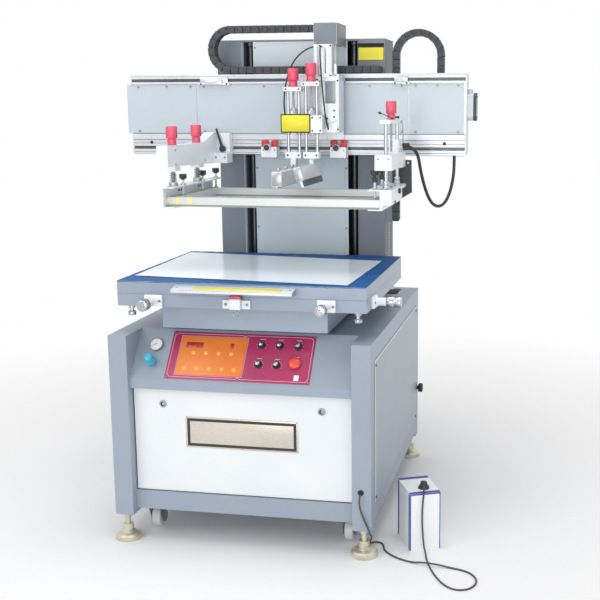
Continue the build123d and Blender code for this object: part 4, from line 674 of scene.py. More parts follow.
def makeControlPanel(look):
    left, right, low, high = look["plate"]
    keys = [(x + i * pitch, s) for x, s, count, pitch in look["keys"] for i in range(count)]
    bm = bmesh.new()
    addBlock(bm, (left, right), (low, high), (0, 2), 0.5, slope)
    keepPiece("controlPlate", bm, "cabinet", "controlPlastic", "control_plate", ["control_panel"])
    # pale border line with cut corners and a notch at the middle screws
    inset, cut, notch = look["lineInset"], look["cornerCut"], look["notch"]
    l, r, b, t = left + inset, right - inset, low + inset, high - inset
    bm = bmesh.new()
    addLine(bm, [(l + cut, b), (notch - 7, b), (notch, b + 6), (notch + 7, b), (r - cut, b), (r, b + cut),
                 (r, t - cut), (r - cut, t), (notch + 7, t), (notch, t - 6), (notch - 7, t), (l + cut, t),
                 (l, t - cut), (l, b + cut)], 1.6, 2.0, 2.2, slope)
    kl, kr, kb, kt = look["keypad"]
    addLine(bm, [(kl - 2, kb - 2), (kr + 2, kb - 2), (kr + 2, kt + 2), (kl - 2, kt + 2)], 1.4, 2.0, 2.25, slope)
    # short pale dashes over the dials and the stop button
    for x, s in look["dials"]:
        addBlock(bm, (x - 9, x + 9), (s + 22, s + 24.4), (2.0, 2.15), 0, slope)
    addBlock(bm, look["dash"][:2], look["dash"][2:], (2.0, 2.15), 0, slope)
    keepPiece("controlLines", bm, "cabinet", "linePaint", "control_plate")
    keepBlocks("keypadSheet", [((kl, kr), (kb, kt), (2.0, 3.0))], 0.4, slope,
               "cabinet", "keypadPlastic", "control_plate")
    bm = bmesh.new()
    for x, s in keys:
        addTurned(bm, [(7.6, 3.0), (7.4, 3.5), (6.2, 3.9), (0, 4.0)], (x, s, 0), out, 24, slope)
    keepPiece("keypadKeys", bm, "cabinet", "keyPlastic", "control_plate")
    dl, dr, db, dt = look["display"]
    sl, sr, sb, st = look["digitBox"]
    bm = bmesh.new()
    addBlock(bm, (dl, dr), (db, dt), (3.0, 3.5), 0.3, slope)
    addBlock(bm, (sl, sr), (sb, st), (3.0, 3.4), 0.3, slope)
    keepPiece("displayWindows", bm, "cabinet", "displayRed", "control_plate")
    bm = bmesh.new()
    for i, figure in enumerate(look["figures"]):
        addDigit(bm, figure, dl + 7 + i * 13, db + 4, 6.5, 12, 3.5, 3.65)
    addDigit(bm, "0", sl + 3, sb + 4, 6, 10, 3.4, 3.55)
    x, s, count, pitch = look["lamps"]
    for i in range(count):
        addTurned(bm, [(1.5, 3.0), (1.5, 3.3), (0, 3.5)], (x + i * pitch, s, 0), out, 12, slope)
    for x, s in keys:
        addTurned(bm, [(1.2, 3.0), (1.2, 3.25), (0, 3.35)], (x, s + 15, 0), out, 12, slope)
    keepPiece("displayDigits", bm, "cabinet", "digitRed", "control_plate")
    # dial ticks, the sticker and the gauge's face
    bm = bmesh.new()
    for number, (x, s) in enumerate(look["dials"]):
        count = 11 if number > 2 else 7
        for i in range(count):
            spin = Matrix.Translation((x, s, 0)) @ Matrix.Rotation(math.radians(210 - 240 * i / (count - 1)), 4, "Z")
            addBlock(bm, (15.5, 19.0), (-0.5, 0.5), (2.0, 2.15), 0, slope @ spin)
    addBlock(bm, look["sticker"][:2], look["sticker"][2:], (2.0, 2.3), 0, slope)
    gauge = slope @ Matrix.Translation((*look["gauge"], 0))
    addTurned(bm, [(20, 8), (20, 12.2), (0, 12.2)], (0, 0, 0), out, 40, gauge)
    keepPiece("panelWhites", bm, "cabinet", "whitePaint", "control_plate")
    bm = bmesh.new()
    addTurned(bm, [(23, 0), (23, 11), (22.3, 13.4), (20.6, 13.6), (20, 12.4), (19.9, 8)], (0, 0, 0), out, 40, gauge)
    addTurned(bm, [(3, 12.2), (3, 13.2), (0, 13.6)], (0, 0, 0), out, 16, gauge)
    near = look["screwInset"]
    for x, s in ((left + near, low + near), (right - near, low + near), (left + near, high - near),
                 (right - near, high - near), (notch, low + 4), (notch, high - 4)):
        addScrew(bm, (x, s, 2), out, 2.6, 1.4, slope)
    keepPiece("panelScrews", bm, "cabinet", *chromeParts)
    bm = bmesh.new()
    for i in range(13):
        spin = Matrix.Rotation(math.radians(225 - 270 * i / 12), 4, "Z")
        long = 4.0 if i % 3 == 0 else 2.4
        addBlock(bm, (18.2 - long, 18.2), (-0.3, 0.3), (12.2, 12.35), 0, gauge @ spin)
    needle = gauge @ Matrix.Rotation(math.radians(look["needle"]), 4, "Z")
    addPrism(bm, [(-4, -0.9), (15, -0.25), (15, 0.25), (-4, 0.9)], 12.5, 12.8, needle)
    keepPiece("gaugeMarks", bm, "cabinet", *gapParts)


makeControlPanel(panelLook)

switchLook = {"radius": 13.0, "height": 17.0, "turns": (40, 15, -35, 60, 25)}


def makeSwitches(look):
    r, high = look["radius"], look["height"]
    top = high + 1.2
    for number, ((x, s), turn) in enumerate(zip(panelLook["dials"], look["turns"]), start=1):
        body = f"switch_{number}"
        bm = bmesh.new()
        addTurned(bm, [(4, -2), (4, 2.4), (r, 2.4), (r, 4.5), (r - 1.6, 6.0, 0.5), (r - 2.6, high, 0.5),
                       (r - 3.6, top), (0, top)], (x, s, 0), out, 48, slope)
        keepPiece(f"switchKnob{number}", bm, body, *blackParts, [f"console_knob_{number}"])
        spin = slope @ Matrix.Translation((x, s, 0)) @ Matrix.Rotation(math.radians(turn), 4, "Z")
        bm = bmesh.new()
        addTurned(bm, [(7.2, top - 0.4), (7.2, top + 0.5), (6.4, top + 0.9), (0, top + 0.9)], (0, 0, 0), out, 32, spin)
        addBlock(bm, (-1.4, 1.4), (-r + 3.5, r - 1.5), (top, top + 3.0), 0.5, spin)
        keepPiece(f"switchCap{number}", bm, body, *chromeParts)


makeSwitches(switchLook)

stopLook = {"spot": (182, 82, 0), "radius": 21.0, "lift": 5.3}


def makeStop(look):
    r, low = look["radius"], look["lift"]
    bm = bmesh.new()
    addTurned(bm, [(0, 2.2 + low), (r - 1.5, 2.2 + low), (r, 3.5 + low), (r, 8 + low), (r - 1.6, 11 + low),
                   (r - 5, 13.2 + low), (r - 11, 14.6 + low), (0, 15.1 + low)], look["spot"], out, 48, slope)
    keepPiece("stopCap", bm, "stop_button", "stopPlastic", "red_plastic", ["stop_button"])
    bm = bmesh.new()
    addTurned(bm, [(19, 1.4), (19, 1.8), (18, 2.1), (8, 2.1), (6, 2.0), (0, 2.0)], look["spot"], out, 40, slope)
    keepPiece("stopCollar", bm, "cabinet", *blackParts)


makeStop(stopLook)

regulatorLook = {"spot": (-318, 66, 0), "radius": 17.0}


def makeRegulator(look):
    r = look["radius"]
    bm = bmesh.new()
    addTurned(bm, [(r * 0.7, 0.3), (r * 0.7, 12), (r, 12), (r, 21), (r - 0.8, 22), (r * 0.86, 22.4),
                   (r * 0.86, 24, 0.7), (r * 0.86, 44, 0.7), (r * 0.8, 47.2), (r * 0.55, 48.2), (0, 48.2)],
              look["spot"], out, 48, slope)
    keepPiece("regulatorCap", bm, "regulator", "cyanPlastic", "cyan_plastic", ["regulator_knob"])


makeRegulator(regulatorLook)
print("console dressed")

plateLook = {"x": (-198, 195), "z": (342, 450), "face": 38, "thick": 2.0, "inset": 5.5, "band": 9.5}


def makeNameplate(look):
    upright = facing(look["face"])
    (l, r), (b, t), thick, band = look["x"], look["z"], look["thick"], look["band"]
    keepBlocks("nameplate", [((l, r), (b, t), (0, thick))], 0.5, upright, "front_panel", "platePolish", "zinc_feet")
    bm = bmesh.new()
    i = look["inset"] + band / 2
    addLine(bm, [(l + i, b + i), (r - i, b + i), (r - i, t - i), (l + i, t - i)], band, thick - 0.1, thick + 0.25,
            upright)
    keepPiece("nameplateBorder", bm, "front_panel", "plateBorder", "black_plastic")
    spots = [(x, z, thick) for x in (l + 4, (l + r) / 2, r - 4) for z in (b + 3.4, t - 3.4)]
    keepScrews("nameplateScrews", spots, out, 2.2, 1.2, upright, "front_panel", *chromeParts)


makeNameplate(plateLook)

# Side sheets of the cabinet: bright edge, corner screws and the right side's black knob
sideLook = {"face": 452.0, "front": 65.0, "rear": 1017.0, "low": 178.5, "high": 661.0,
            "knob": (450, 1052, 303), "cordHole": (415, 0, 232)}


def makeSides(look):
    low, high = look["low"], look["high"]
    for side, word in ((-1, "Left"), (1, "Right")):
        wall = wallOf(side * look["face"], side)
        f, r = sorted((side * look["front"], side * look["rear"]))
        edge = look["front"] * side
        trim = [((edge - 2.4, edge + 2.4), (low, high + 3.5), (-0.5, 0.9)),
                ((f, r), (high - 0.5, high + 3.5), (-0.5, 0.9))]
        keepBlocks(f"sideTrim{word}", trim, 0.4, wall, "cabinet", "panelPaint", "white_panel")
        spots = [(y, z, 0) for y in (f + 12, r - 12) for z in (low + 12, high - 14)]
        keepScrews(f"sideScrews{word}", spots, out, 5.0, 2.4, wall, "cabinet", *blackParts)
    bm = bmesh.new()
    addTurned(bm, [(8, -3), (8, 6), (16, 7), (19, 11, 1.0), (19, 22, 1.0), (16, 25), (0, 26)],
              look["knob"], (1, 0, 0), 36)
    keepPiece("sideKnob", bm, "cabinet", *blackParts)
    bm = bmesh.new()
    addTurned(bm, [(5.2, 0.5), (6.2, -2.2), (9, -2.2), (10.5, -1.2), (10.5, 0.5)], look["cordHole"], (0, 1, 0), 32)
    keepPiece("cordGrommet", bm, "cabinet", "hoseRubber", "black_rubber")


makeSides(sideLook)

lockLook = {"x": 277.0, "z": 490.0, "face": 38.0, "radius": 13.0}


def makeLocks(look):
    r = look["radius"]
    for side, word in ((-1, "left"), (1, "right")):
        face = plane(side * look["x"], look["face"], look["z"], (1, 0, 0), (0, 0, 1))
        bm = bmesh.new()
        addTurned(bm, [(r * 0.55, -11), (r * 0.55, -0.2), (r, 0.05), (r, 2.2), (r - 1, 3.4), (r - 2.6, 3.4),
                       (r - 3.2, 1.6), (0, 1.6)], (0, 0, 0), out, 40, face)
        addBlock(bm, (-7, 7), (-7, 26), (-20, -17.2), 0.6, face)
        keepPiece(f"camLock{word.title()}", bm, f"cam_{word}", *chromeParts, [f"cam_lock_{word}"])
        # half-moon hollow for the key
        bm = bmesh.new()
        addPrism(bm, arcSpots(0, 0, 8.2, 100, 12, 19) + arcSpots(1.4, 0, 5.2, 300, -12, 17), 1.6, 1.9, face)
        keepPiece(f"camMoon{word.title()}", bm, f"cam_{word}", *gapParts)


makeLocks(lockLook)

casterLook = {
    "x": 350.0, "wheel": 45.0, "gap": 16.7, "rim": 24.0, "top": (22.0, 46.0),
    "spots": (  # name, body, side, king pin's Y, axle's Y
        ("FrontLeft", "fork_front_left", -1, 118.0, 142.0), ("FrontRight", "fork_front_right", 1, 118.0, 142.0),
        ("RearLeft", "cabinet", -1, 962.0, 962.0), ("RearRight", "cabinet", 1, 962.0, 962.0),
    ),
}


def makeCasters(look):
    # pressed steel cheeks round the wheels, with a bolt through, and a dust cap over the races
    z, rim, (wide, rise) = look["wheel"], look["rim"], look["top"]
    for word, body, side, king, axle in look["spots"]:
        x = side * look["x"]
        bm = bmesh.new()
        for cheek in (-1, 1):
            outer = wallOf(x + cheek * (look["gap"] + 3.9), cheek)
            outline = arcSpots(axle, z, rim, 180, 15, 13) + [(king + wide, z + rise), (king - wide, z + rise)]
            addPrism(bm, [(cheek * y, height) for y, height in outline], 0, 1.2, outer)
            addTurned(bm, [(9, 1), (9, 2.4), (6, 2.6), (6, 6.4), (5, 7.4), (0, 7.4)], (cheek * axle, z, 0),
                      out, 6, outer)
        addTurned(bm, [(29.4, 158), (29.4, 163), (26, 166), (18, 167)], (x, king, 0), steps=36)
        keepPiece(f"casterCheeks{word}", bm, body, *steelParts)


makeCasters(casterLook)
print("cabinet dressed")

filmLook = {"x": (-427.5, 427.5), "y": (45.5, 754.5), "top": 910.0, "cells": (150, 120), "creased": 70, "hem": 44.6}


def makeFilm(look):
    # a thin film with small creases round its rim, turned down over the table's front edge
    nx, ny = look["cells"]
    (left, right), (front, rear), top = look["x"], look["y"], look["top"]
    wide, deep = right - left, rear - front
    bm = bmesh.new()
    rows = []
    for j in range(ny + 1):
        row = []
        for i in range(nx + 1):
            u, v = i / nx, j / ny
            x, y = left + u * wide, front + v * deep
            rim = max(0.0, 1 - min(min(u, 1 - u) * wide, min(v, 1 - v) * deep) / look["creased"])
            crease = noise.noise(Vector((x * 0.045, y * 0.045, 3)))
            crease += 0.6 * noise.noise(Vector((x * 0.12, y * 0.12, 7)))
            lift = 0.25 + rim * (0.55 + 0.9 * crease) + 0.1 * crease
            tuck = 1.2 * noise.noise(Vector((x * 0.03, y * 0.03, 11)))
            if j in (0, ny):
                y += tuck if j == 0 else -abs(tuck)
                y = min(max(y, front), rear)
            row.append(bm.verts.new(at(x, y, top + max(0.12, lift))))
        rows.append(row)
    addSheet(bm, rows)
    hem = []
    for i in range(nx + 1):
        fall = 3.2 + 2.2 * noise.noise(Vector((i * 0.35, 0, 5)))
        hem.append(bm.verts.new(at(left + i / nx * wide, look["hem"], top - fall)))
    addSheet(bm, [hem, rows[0]])
    film = keepPiece("tableFilm", bm, "table", "filmBlue", "table_grey", smooth=60)


makeFilm(filmLook)

paperLook = {"corners": ((-407, 145), (360, 71), (378, 613), (-417, 720)), "top": 911.6, "cells": (60, 44)}


def makePaper(look):
    a, b, c, d = (Vector(corner) for corner in look["corners"])
    nx, ny = look["cells"]
    bm = bmesh.new()
    rows = []
    for j in range(ny + 1):
        v = j / ny
        row = []
        for i in range(nx + 1):
            u = i / nx
            spot = (a * (1 - u) + b * u) * (1 - v) + (d * (1 - u) + c * u) * v
            wave = 0.5 * noise.noise(Vector((spot.x * 0.008, spot.y * 0.011, 2)))
            wave += 0.12 * noise.noise(Vector((spot.x * 0.05, spot.y * 0.05, 9)))
            row.append(bm.verts.new(at(spot.x, spot.y, look["top"] + 0.5 + wave)))
        rows.append(row)
    addSheet(bm, rows)
    paper = keepPiece("printSheet", bm, "table", "sheetWhite", "white_panel", smooth=60)


makePaper(paperLook)

ledgeLook = {"x": (-221, 192), "strip": (-150, 152), "rear": (45, 900), "front": (0, 892)}


def makeLedge(look):
    (l, r), (ry, rz), (fy, fz) = look["x"], look["rear"], look["front"]
    run = Vector((0, ry - fy, rz - fz))
    top = plane(0, fy, fz, (1, 0, 0), run.normalized())
    long = run.length
    bm = bmesh.new()
    addBlock(bm, (l, r), (0.3, long - 0.2), (0.05, 0.9), 0.4, top)
    addBlock(bm, (l + 0.3, r - 0.3), (883, 891.4), (-0.05, 0.5), 0.3, facing(0.1))
    keepPiece("registerPlate", bm, "table", "carriageMetal", "table_aluminium")
    keepBlocks("registerStrip", [(look["strip"], (10, 33), (0.9, 1.25))], 0.2, top, "table", "stripYellow", "carton")
    spots = [(l + 12, long / 2, 0.9), (r - 12, long / 2, 0.9)]
    keepScrews("registerScrews", spots, out, 4, 2.0, top, "table", *chromeParts)


makeLedge(ledgeLook)

adjusterLook = {"x": 297.0, "z": 847.0, "plateFace": 33.0, "barrel": 58.0, "knobLong": 37.0, "radius": 19.0,
                "sideY": 150.0, "sideFace": 440.0, "sideBarrel": 36.0, "sideKnob": 50.0}


def addKnurled(bm, spot, way, radius, long):
    # a finely ribbed barrel with chamfers, a ring groove and a small screw in its face
    addTurned(bm, [(radius - 2.5, 0), (radius - 1, 1.2), (radius, 2.6, 0.45), (radius, long * 0.46, 0.45),
                   (radius - 0.9, long * 0.49), (radius - 0.9, long * 0.55), (radius, long * 0.58, 0.45),
                   (radius, long - 2.4, 0.45), (radius - 1.2, long - 1), (radius - 3, long), (radius * 0.42, long),
                   (radius * 0.38, long - 1.6), (radius * 0.2, long - 1.6), (radius * 0.17, long - 0.4),
                   (0, long - 0.4)], spot, way, 84)


def makeAdjusters(look):
    x, z, radius = look["x"], look["z"], look["radius"]
    start = look["plateFace"] - look["barrel"] - 0.2
    end = look["sideFace"] + look["sideBarrel"] + 0.2
    for word, spot, way, long in (("left", (-x, start, z), (0, -1, 0), look["knobLong"]),
                                  ("right", (x, start, z), (0, -1, 0), look["knobLong"]),
                                  ("side", (end, look["sideY"], z), (1, 0, 0), look["sideKnob"])):
        bm = bmesh.new()
        addKnurled(bm, spot, way, radius, long - 0.2)
        keepPiece(f"tableKnob{word.title()}", bm, f"knob_{word}", "chromeFinish", "light_metal", [f"table_knob_{word}"])
    # plates, barrels with graduations, and screws
    faces = [plane(side * x, look["plateFace"], z, (1, 0, 0), (0, 0, 1)) for side in (-1, 1)]
    faces.append(plane(look["sideFace"], look["sideY"], z, (0, 1, 0), (0, 0, 1)))
    bm = bmesh.new()
    for face, long in zip(faces, (look["barrel"], look["barrel"], look["sideBarrel"])):
        addBlock(bm, (-30.4, 30.4), (-20, 20), (-12, 0.6), 1.2, face)
        step = 40 if long > 50 else 22
        addTurned(bm, [(17, 0.5), (17, 5), (15, 7), (13.5, 8), (13.5, step), (13.9, step + 1), (13.9, long - 1),
                       (13.3, long - 0.1)], (0, 0, 0), out, 48, face)
    keepPiece("adjusterMounts", bm, "cabinet", "armMetal", "light_metal")
    bm = bmesh.new()
    for face in faces:
        for u in (-23, 23):
            addScrew(bm, (u, 0, 0.6), out, 4.6, 3.2, face)
    keepPiece("adjusterScrews", bm, "cabinet", *steelParts)


makeAdjusters(adjusterLook)

tableLockLook = {"x": -8.0, "half": 47.0, "block": 18.5, "top": 864.0, "y": 28.0}


def makeTableLock(look):
    x, y, half, block, top = look["x"], look["y"], look["half"], look["block"], look["top"]
    bm = bmesh.new()
    addBlock(bm, (x - half - 0.5, x + half + 0.5), (36.4, 45.2), (828.4, 857.6), 1.0)
    addBlock(bm, (x - block - 0.5, x + block + 0.5), (18.6, 37), (828.4, top), 1.0)
    keepPiece("lockMount", bm, "cabinet", "panelPaint", "light_metal")
    spots = [(x - 37, 36.4, 843), (x + 37, 36.4, 843)]
    keepScrews("lockScrews", spots, (0, -1, 0), 5, 2.8, machine, "cabinet", *steelParts)
    bm = bmesh.new()
    addBlock(bm, (x - block + 0.2, x + block - 0.2), (20.3, 35.8), (top + 0.25, top + 9.9), 1.6)
    keepPiece("lockCap", bm, "lock_pin", "redAnodised", "red_anodised", ["table_lock_pin"])
    bm = bmesh.new()
    addTurned(bm, [(4.6, 818.2), (5.0, 819.4), (5.0, 828), (5, 866)], (x, y, 0), steps=24)
    turns = [2 * math.pi * k / 28 for k in range(29)]
    addWire(bm, [(x + 9 * math.sin(a), y, 811 + 9 * math.cos(a)) for a in turns], 1.5, 8)
    keepPiece("lockRing", bm, "lock_pin", *chromeParts)


makeTableLock(tableLockLook)

levelLook = {"x": 393.0, "rows": (80.0, 400.0, 720.0), "bottom": 822.0}


def makeLevelScrews(look):
    base = look["bottom"]
    profile = [(13.2, base - 34.2), (13.6, base - 32), (13.6, base - 27), (13.2, base - 24), (7, base - 24),
               (6.4, base - 9.2), (11.6, base - 9.2), (11.6, base - 0.2)]
    bm = bmesh.new()
    for side in (-1, 1):
        for y in look["rows"]:
            addTurned(bm, profile, (side * look["x"], y, 0), steps=24)
    keepPiece("levelScrews", bm, "cabinet", "chromeFinish", "light_metal")


makeLevelScrews(levelLook)
print("table dressed")

columnLook = {"shaftX": 212.0, "shaftY": 925.0, "shaftRadius": 12.54, "low": 740.0, "high": 1736.0,
              # edges: pale strips of painted highlight beside the column's slot
              "edges": (((-240.4, -237.6), (742, 1732), 890.0), ((177.5, 180.3), (756, 1731), 887.0)),  # X, Z, face
              "label": (234, 337, 1661, 1727.5), "labelHead": 14.5, "face": 890.0,
              "screws": ((-184, 184), (760, 1000, 1240, 1480, 1715)),
              "side": 342.0, "sideShade": ((893, 1072), (744, 1742)), "slots": (978, 986, 756, 44)}


def makeColumnTrim(look):
    low, high, radius = look["low"], look["high"], look["shaftRadius"]
    # the guide shafts are very dark: painted shade where they stand in the column's slot
    bm = bmesh.new()
    for side in (-1, 1):
        spot = (side * look["shaftX"], look["shaftY"], 0)
        addTurned(bm, [(radius, low), (radius, high)], spot, steps=40)
        addTurned(bm, [(20, low), (20, low + 12), (18, low + 15), (13, low + 15)], spot)
        addTurned(bm, [(13, high - 16), (18, high - 16), (20, high - 13), (20, high)], spot)
    keepPiece("guideShafts", bm, "cabinet", "paintedShadeSteel", "chrome")
    # painted highlight: thin pale strips along the column slot's edges, on the left pillar and on the cover
    bm = bmesh.new()
    for x, z, y in look["edges"]:
        addBlock(bm, x, z, (0.05, 0.35), 0, facing(y))
    keepPiece("slotEdgeHighlights", bm, "cabinet", "coverPaint", "cover_blue")
    face = facing(look["face"])
    l, r, b, t = look["label"]
    seam = t - look["labelHead"]
    keepBlocks("columnLabel", [((l, r), (b, seam), (0, 0.5))], 0, face, "cabinet", "yellowLabel", "carton")
    bm = bmesh.new()
    addBlock(bm, (l, r), (seam, t), (0, 0.5), 0, face)
    addLine(bm, [(l + 1, b + 1), (r - 1, b + 1), (r - 1, seam - 1), (l + 1, seam - 1)], 1.8, 0.4, 0.7, face)
    keepPiece("columnLabelTop", bm, "cabinet", *gapParts)
    columns, rows = look["screws"]
    spots = [(x, z, 3.0) for x in columns for z in rows]
    keepScrews("coverScrews", spots, out, 4, 2.2, face, "cabinet", *steelParts)
    # painted shade: a dark sheet on the right pillar's side, with a row of bright slots
    side = wallOf(look["side"])
    keepBlocks("pillarSideShade", [(*look["sideShade"], (-0.1, 0.25))], 0, side, "cabinet", "blackPlastic", "column_grey")
    near, rear, foot, count = look["slots"]
    slots = [((near, rear), (foot + k * 12, foot + 5 + k * 12), (0.1, 0.45)) for k in range(count)]
    keepBlocks("pillarSideSlots", slots, 0, side, "cabinet", "armMetal", "caster_grey")


makeColumnTrim(columnLook)

rearLook = {
    "column": 1075.0, "seams": (-236, 236), "seamRise": (752, 1722), "vents": (1560, 800), "ventRows": 9,
    "columnScrews": ((-326, -252, 252, 326), (765, 1085, 1405, 1715)),
    "cabinet": 1082.0, "cabinetScrews": ((-380, 0, 380), (196, 646)), "cabinetVent": (120, 300, 300, 12),
    "glands": ((-300, 230), (-240, 230)),
}


def makeRearTrim(look):
    # seen from behind: X runs to the left of the machine
    back, low = [plane(0, look[name], 0, (-1, 0, 0), (0, 0, 1)) for name in ("column", "cabinet")]
    rows = [((x - 1.2, x + 1.2), look["seamRise"], (-0.1, 0.35)) for x in look["seams"]]
    for row in range(look["ventRows"]):
        rows += [((-70, 70), (z + row * 13, z + 4.5 + row * 13), (-0.1, 0.4)) for z in look["vents"]]
    keepBlocks("columnVents", rows, 0, back, "cabinet", "shadowGap", "column_grey")
    columns, rows = look["columnScrews"]
    spots = [(x, z, 0) for x in columns for z in rows]
    keepScrews("columnScrews", spots, out, 4.5, 2.4, back, "cabinet", *steelParts)
    columns, rows = look["cabinetScrews"]
    spots = [(x, z, 0) for x in columns for z in rows]
    keepScrews("rearScrews", spots, out, 5.0, 2.4, low, "cabinet", *blackParts)
    l, r, foot, count = look["cabinetVent"]
    rows = [((l, r), (foot + row * 16, foot + 5 + row * 16), (-0.1, 0.4)) for row in range(count)]
    keepBlocks("rearVents", rows, 0, low, "cabinet", "shadowGap", "white_panel")
    gland = [(15, -1), (15, 2.4), (12.5, 3), (12.5, 7.5, 0.8), (9, 9), (7, 11), (4.4, 11), (4.4, 9.5), (0, 9.5)]
    bm = bmesh.new()
    for spot in look["glands"]:
        addTurned(bm, gland, (*spot, 0), out, 24, low)
    keepPiece("rearGlands", bm, "cabinet", *blackParts)


makeRearTrim(rearLook)

beamLook = {
    "face": 782.0, "coverFace": 785.0, "end": 672.0, "half": 667,
    "screws": {1562: (-640, -520, -421, -365, -120, 130, 300, 425, 478, 560, 640),  # X of each row by its height
               1389: (-640, -421, -365, 425, 478, 640)},
    "bushes": ((-590, 1344), (590, 1344)),
    "hooks": ((-386, -256), (388, 457)),
    "grooves": (1324.0, 1586.0), "shadeLines": (1378.2, 1354.6, 1341.0, 1306.0, 1297.0),
    "shell": ((838, 1516, 0), (810, 1516, 90), (810, 1448, 180), (838, 1448, 270)), "shellRound": 18.3,
    "endScrews": ((800, 1316), (850, 1316), (800, 1592), (850, 1592), (825, 1350)),
}


def makeBeamTrim(look):
    half = look["half"]
    spots = [(x, z, 0) for z, row in look["screws"].items() for x in row]
    keepScrews("beamScrews", spots, out, 4.2, 2.4, facing(look["coverFace"]), "head", *steelParts)
    # hooks over the covers' seams, and the light strip along the top
    bm = bmesh.new()
    for l, r in look["hooks"]:
        addBlock(bm, (l, r), (774, 784), (1567, 1577), 1.2)
        addBlock(bm, (l + 8, r - 8), (778, 784), (1577, 1600), 1.0)
        addBlock(bm, (l + 30, r - 30), (771, 776), (1570, 1590), 1.0)
    addBlock(bm, (-668, 668), (780.6, 782.2), (1600.5, 1606.5), 0.5)
    keepPiece("beamHooks", bm, "head", "beamMetal", "beam_aluminium")
    bm = bmesh.new()
    for l, r in look["hooks"]:
        for x in (l + 12, r - 12):
            addScrew(bm, (x, 774, 1572), (0, -1, 0), 3.4, 2.2)
    for spot in look["bushes"]:
        addTurned(bm, [(6.5, -0.4), (6.5, 1.2), (5.2, 1.6), (3.4, 1.6), (3.0, 0.4), (0, 0.4)], (*spot, 0), out, 24,
                  facing(look["face"]))
    keepPiece("hookScrews", bm, "head", *blackParts)
    # deep shade at the bottom of both grooves, and thin lines of painted shade along the beam's face
    rows = [((-half, half), (790.7, 790.95), (z - 5.9, z + 5.9)) for z in look["grooves"]]
    rows += [((-half, half), (781.9, 782.2), (z, z + 1.5)) for z in look["shadeLines"]]
    keepBlocks("grooveShade", rows, 0, machine, "head", "paintedShadeSteel", "beam_aluminium")
    # rounded cover of the right end: dark shell, grey face and its screws
    outline = []
    for y, z, first in look["shell"]:
        outline += arcSpots(y, z, look["shellRound"], first, 15, 7)
    end = wallOf(look["end"])
    bm = bmesh.new()
    addPrism(bm, outline, 25, 36.2, end, 0.6)
    keepPiece("endShell", bm, "head", "chainPlastic", "caster_grey")
    bm = bmesh.new()
    addPrism(bm, [(824 + (y - 824) * 0.72, 1482 + (z - 1482) * 0.84) for y, z in outline], 36.1, 36.5, end)
    keepPiece("endFace", bm, "head", "sidePaint", "cover_blue")
    spots = [(y, z, 36.1) for z in (1444, 1520) for y in (806, 842)]
    keepScrews("endFaceScrews", spots, out, 3.0, 1.6, end, "head", *blackParts)
    # the left end plate's screws
    spots = [(-y, z, 0) for y, z in look["endScrews"]]
    keepScrews("endScrews", spots, out, 6, 3.6, wallOf(-look["end"], -1), "head", *steelParts)


makeBeamTrim(beamLook)

chainLook = {"thick": 27.0, "pitch": 33.0}


def linkMesh(width, look):
    # one chain link along local X: side plates with rounded ends, bars across and a pin
    t, half = look["thick"], look["pitch"] / 2
    bm = bmesh.new()
    unit = Matrix.Identity(4)
    for side in (-1, 1):
        y = sorted((side * width / 2, side * (width / 2 - 4)))
        addBlock(bm, (-half + 0.8, half - 0.8), y, (-t / 2, t / 2), 0, unit)
        y = sorted((side * (width / 2 - 4), side * (width / 2 - 7)))
        addBlock(bm, (-half - 6, half - 6), y, (-t / 2 + 2, t / 2 - 2), 0, unit)
        spot = (-half + 8, side * width / 2, 0)
        addTurned(bm, [(6, -0.3), (6, 0.9), (4.4, 1.3), (0, 1.3)], spot, (0, side, 0), 20, unit)
    for z in ((-t / 2, -t / 2 + 3), (t / 2 - 3, t / 2)):
        addBlock(bm, (-half + 4, half - 4), (-width / 2 + 5, width / 2 - 5), z, 0, unit)
    edges = [edge for edge in bm.edges if edge.is_manifold and edge.calc_face_angle(0) > 1.2]
    bmesh.ops.bevel(bm, geom=edges, offset=0.9, segments=1, affect="EDGES")
    mesh = bpy.data.meshes.new("chainLink")
    bm.to_mesh(mesh)
    bm.free()
    return mesh


def makeChain(name, look):
    # links on two straight runs and the bend between them, each kept as a piece; the bend goes with the chain's body
    link = linkMesh(look["width"], chainLook)
    path, pitch = look["path"], chainLook["pitch"]
    first, arc, last = path(None)
    whole = first + arc + last
    count = int(whole // pitch)
    spare = (whole - count * pitch) / 2
    spots = [spare + (k + 0.5) * pitch for k in range(count)]
    across = Vector((0, 1, 0))
    for word, low, high in (("Fixed", 0, first), ("Bend", first, first + arc), ("Moving", first + arc, whole)):
        bm = bmesh.new()
        for spot in (s for s in spots if low <= s < high):
            (x, z), (dx, dz) = path(spot)
            along = Vector((dx, 0, dz))
            stand = Matrix((along, across, along.cross(across))).transposed().to_4x4()
            stand.translation = Vector((x, look["y"], z))
            before = len(bm.verts)
            bm.from_mesh(link)
            bm.verts.ensure_lookup_table()
            bmesh.ops.transform(bm, matrix=machine @ stand, verts=bm.verts[before:])
        body = look["body"] if word == "Bend" else None
        piece = keepPiece(f"{name}{word}", bm, body, "chainPlastic", "black_plastic", [look["stands"]])
        if word == "Bend":
            continue
        # the run's end is read off the path, and the run is baked in place with no body
        (x, z), (dx, dz) = path(0 if word == "Fixed" else whole)
        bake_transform(piece)
    bpy.data.meshes.remove(link)


# A path gives the place and direction at a length along it, and its three lengths for None
def beamChainPath(s):
    start, bend, low, r, end = 349.0, -260.0, 1625.5, 78.0, 104.5
    arc = math.pi * r
    first = start - bend
    if s is None:
        return first, arc, end - bend
    if s < first:
        return (start - s, low), (-1, 0)
    if s < first + arc:
        a = (s - first) / r
        return (bend - r * math.sin(a), low + r - r * math.cos(a)), (-math.cos(a), math.sin(a))
    return (bend + s - first - arc, low + 2 * r), (1, 0)


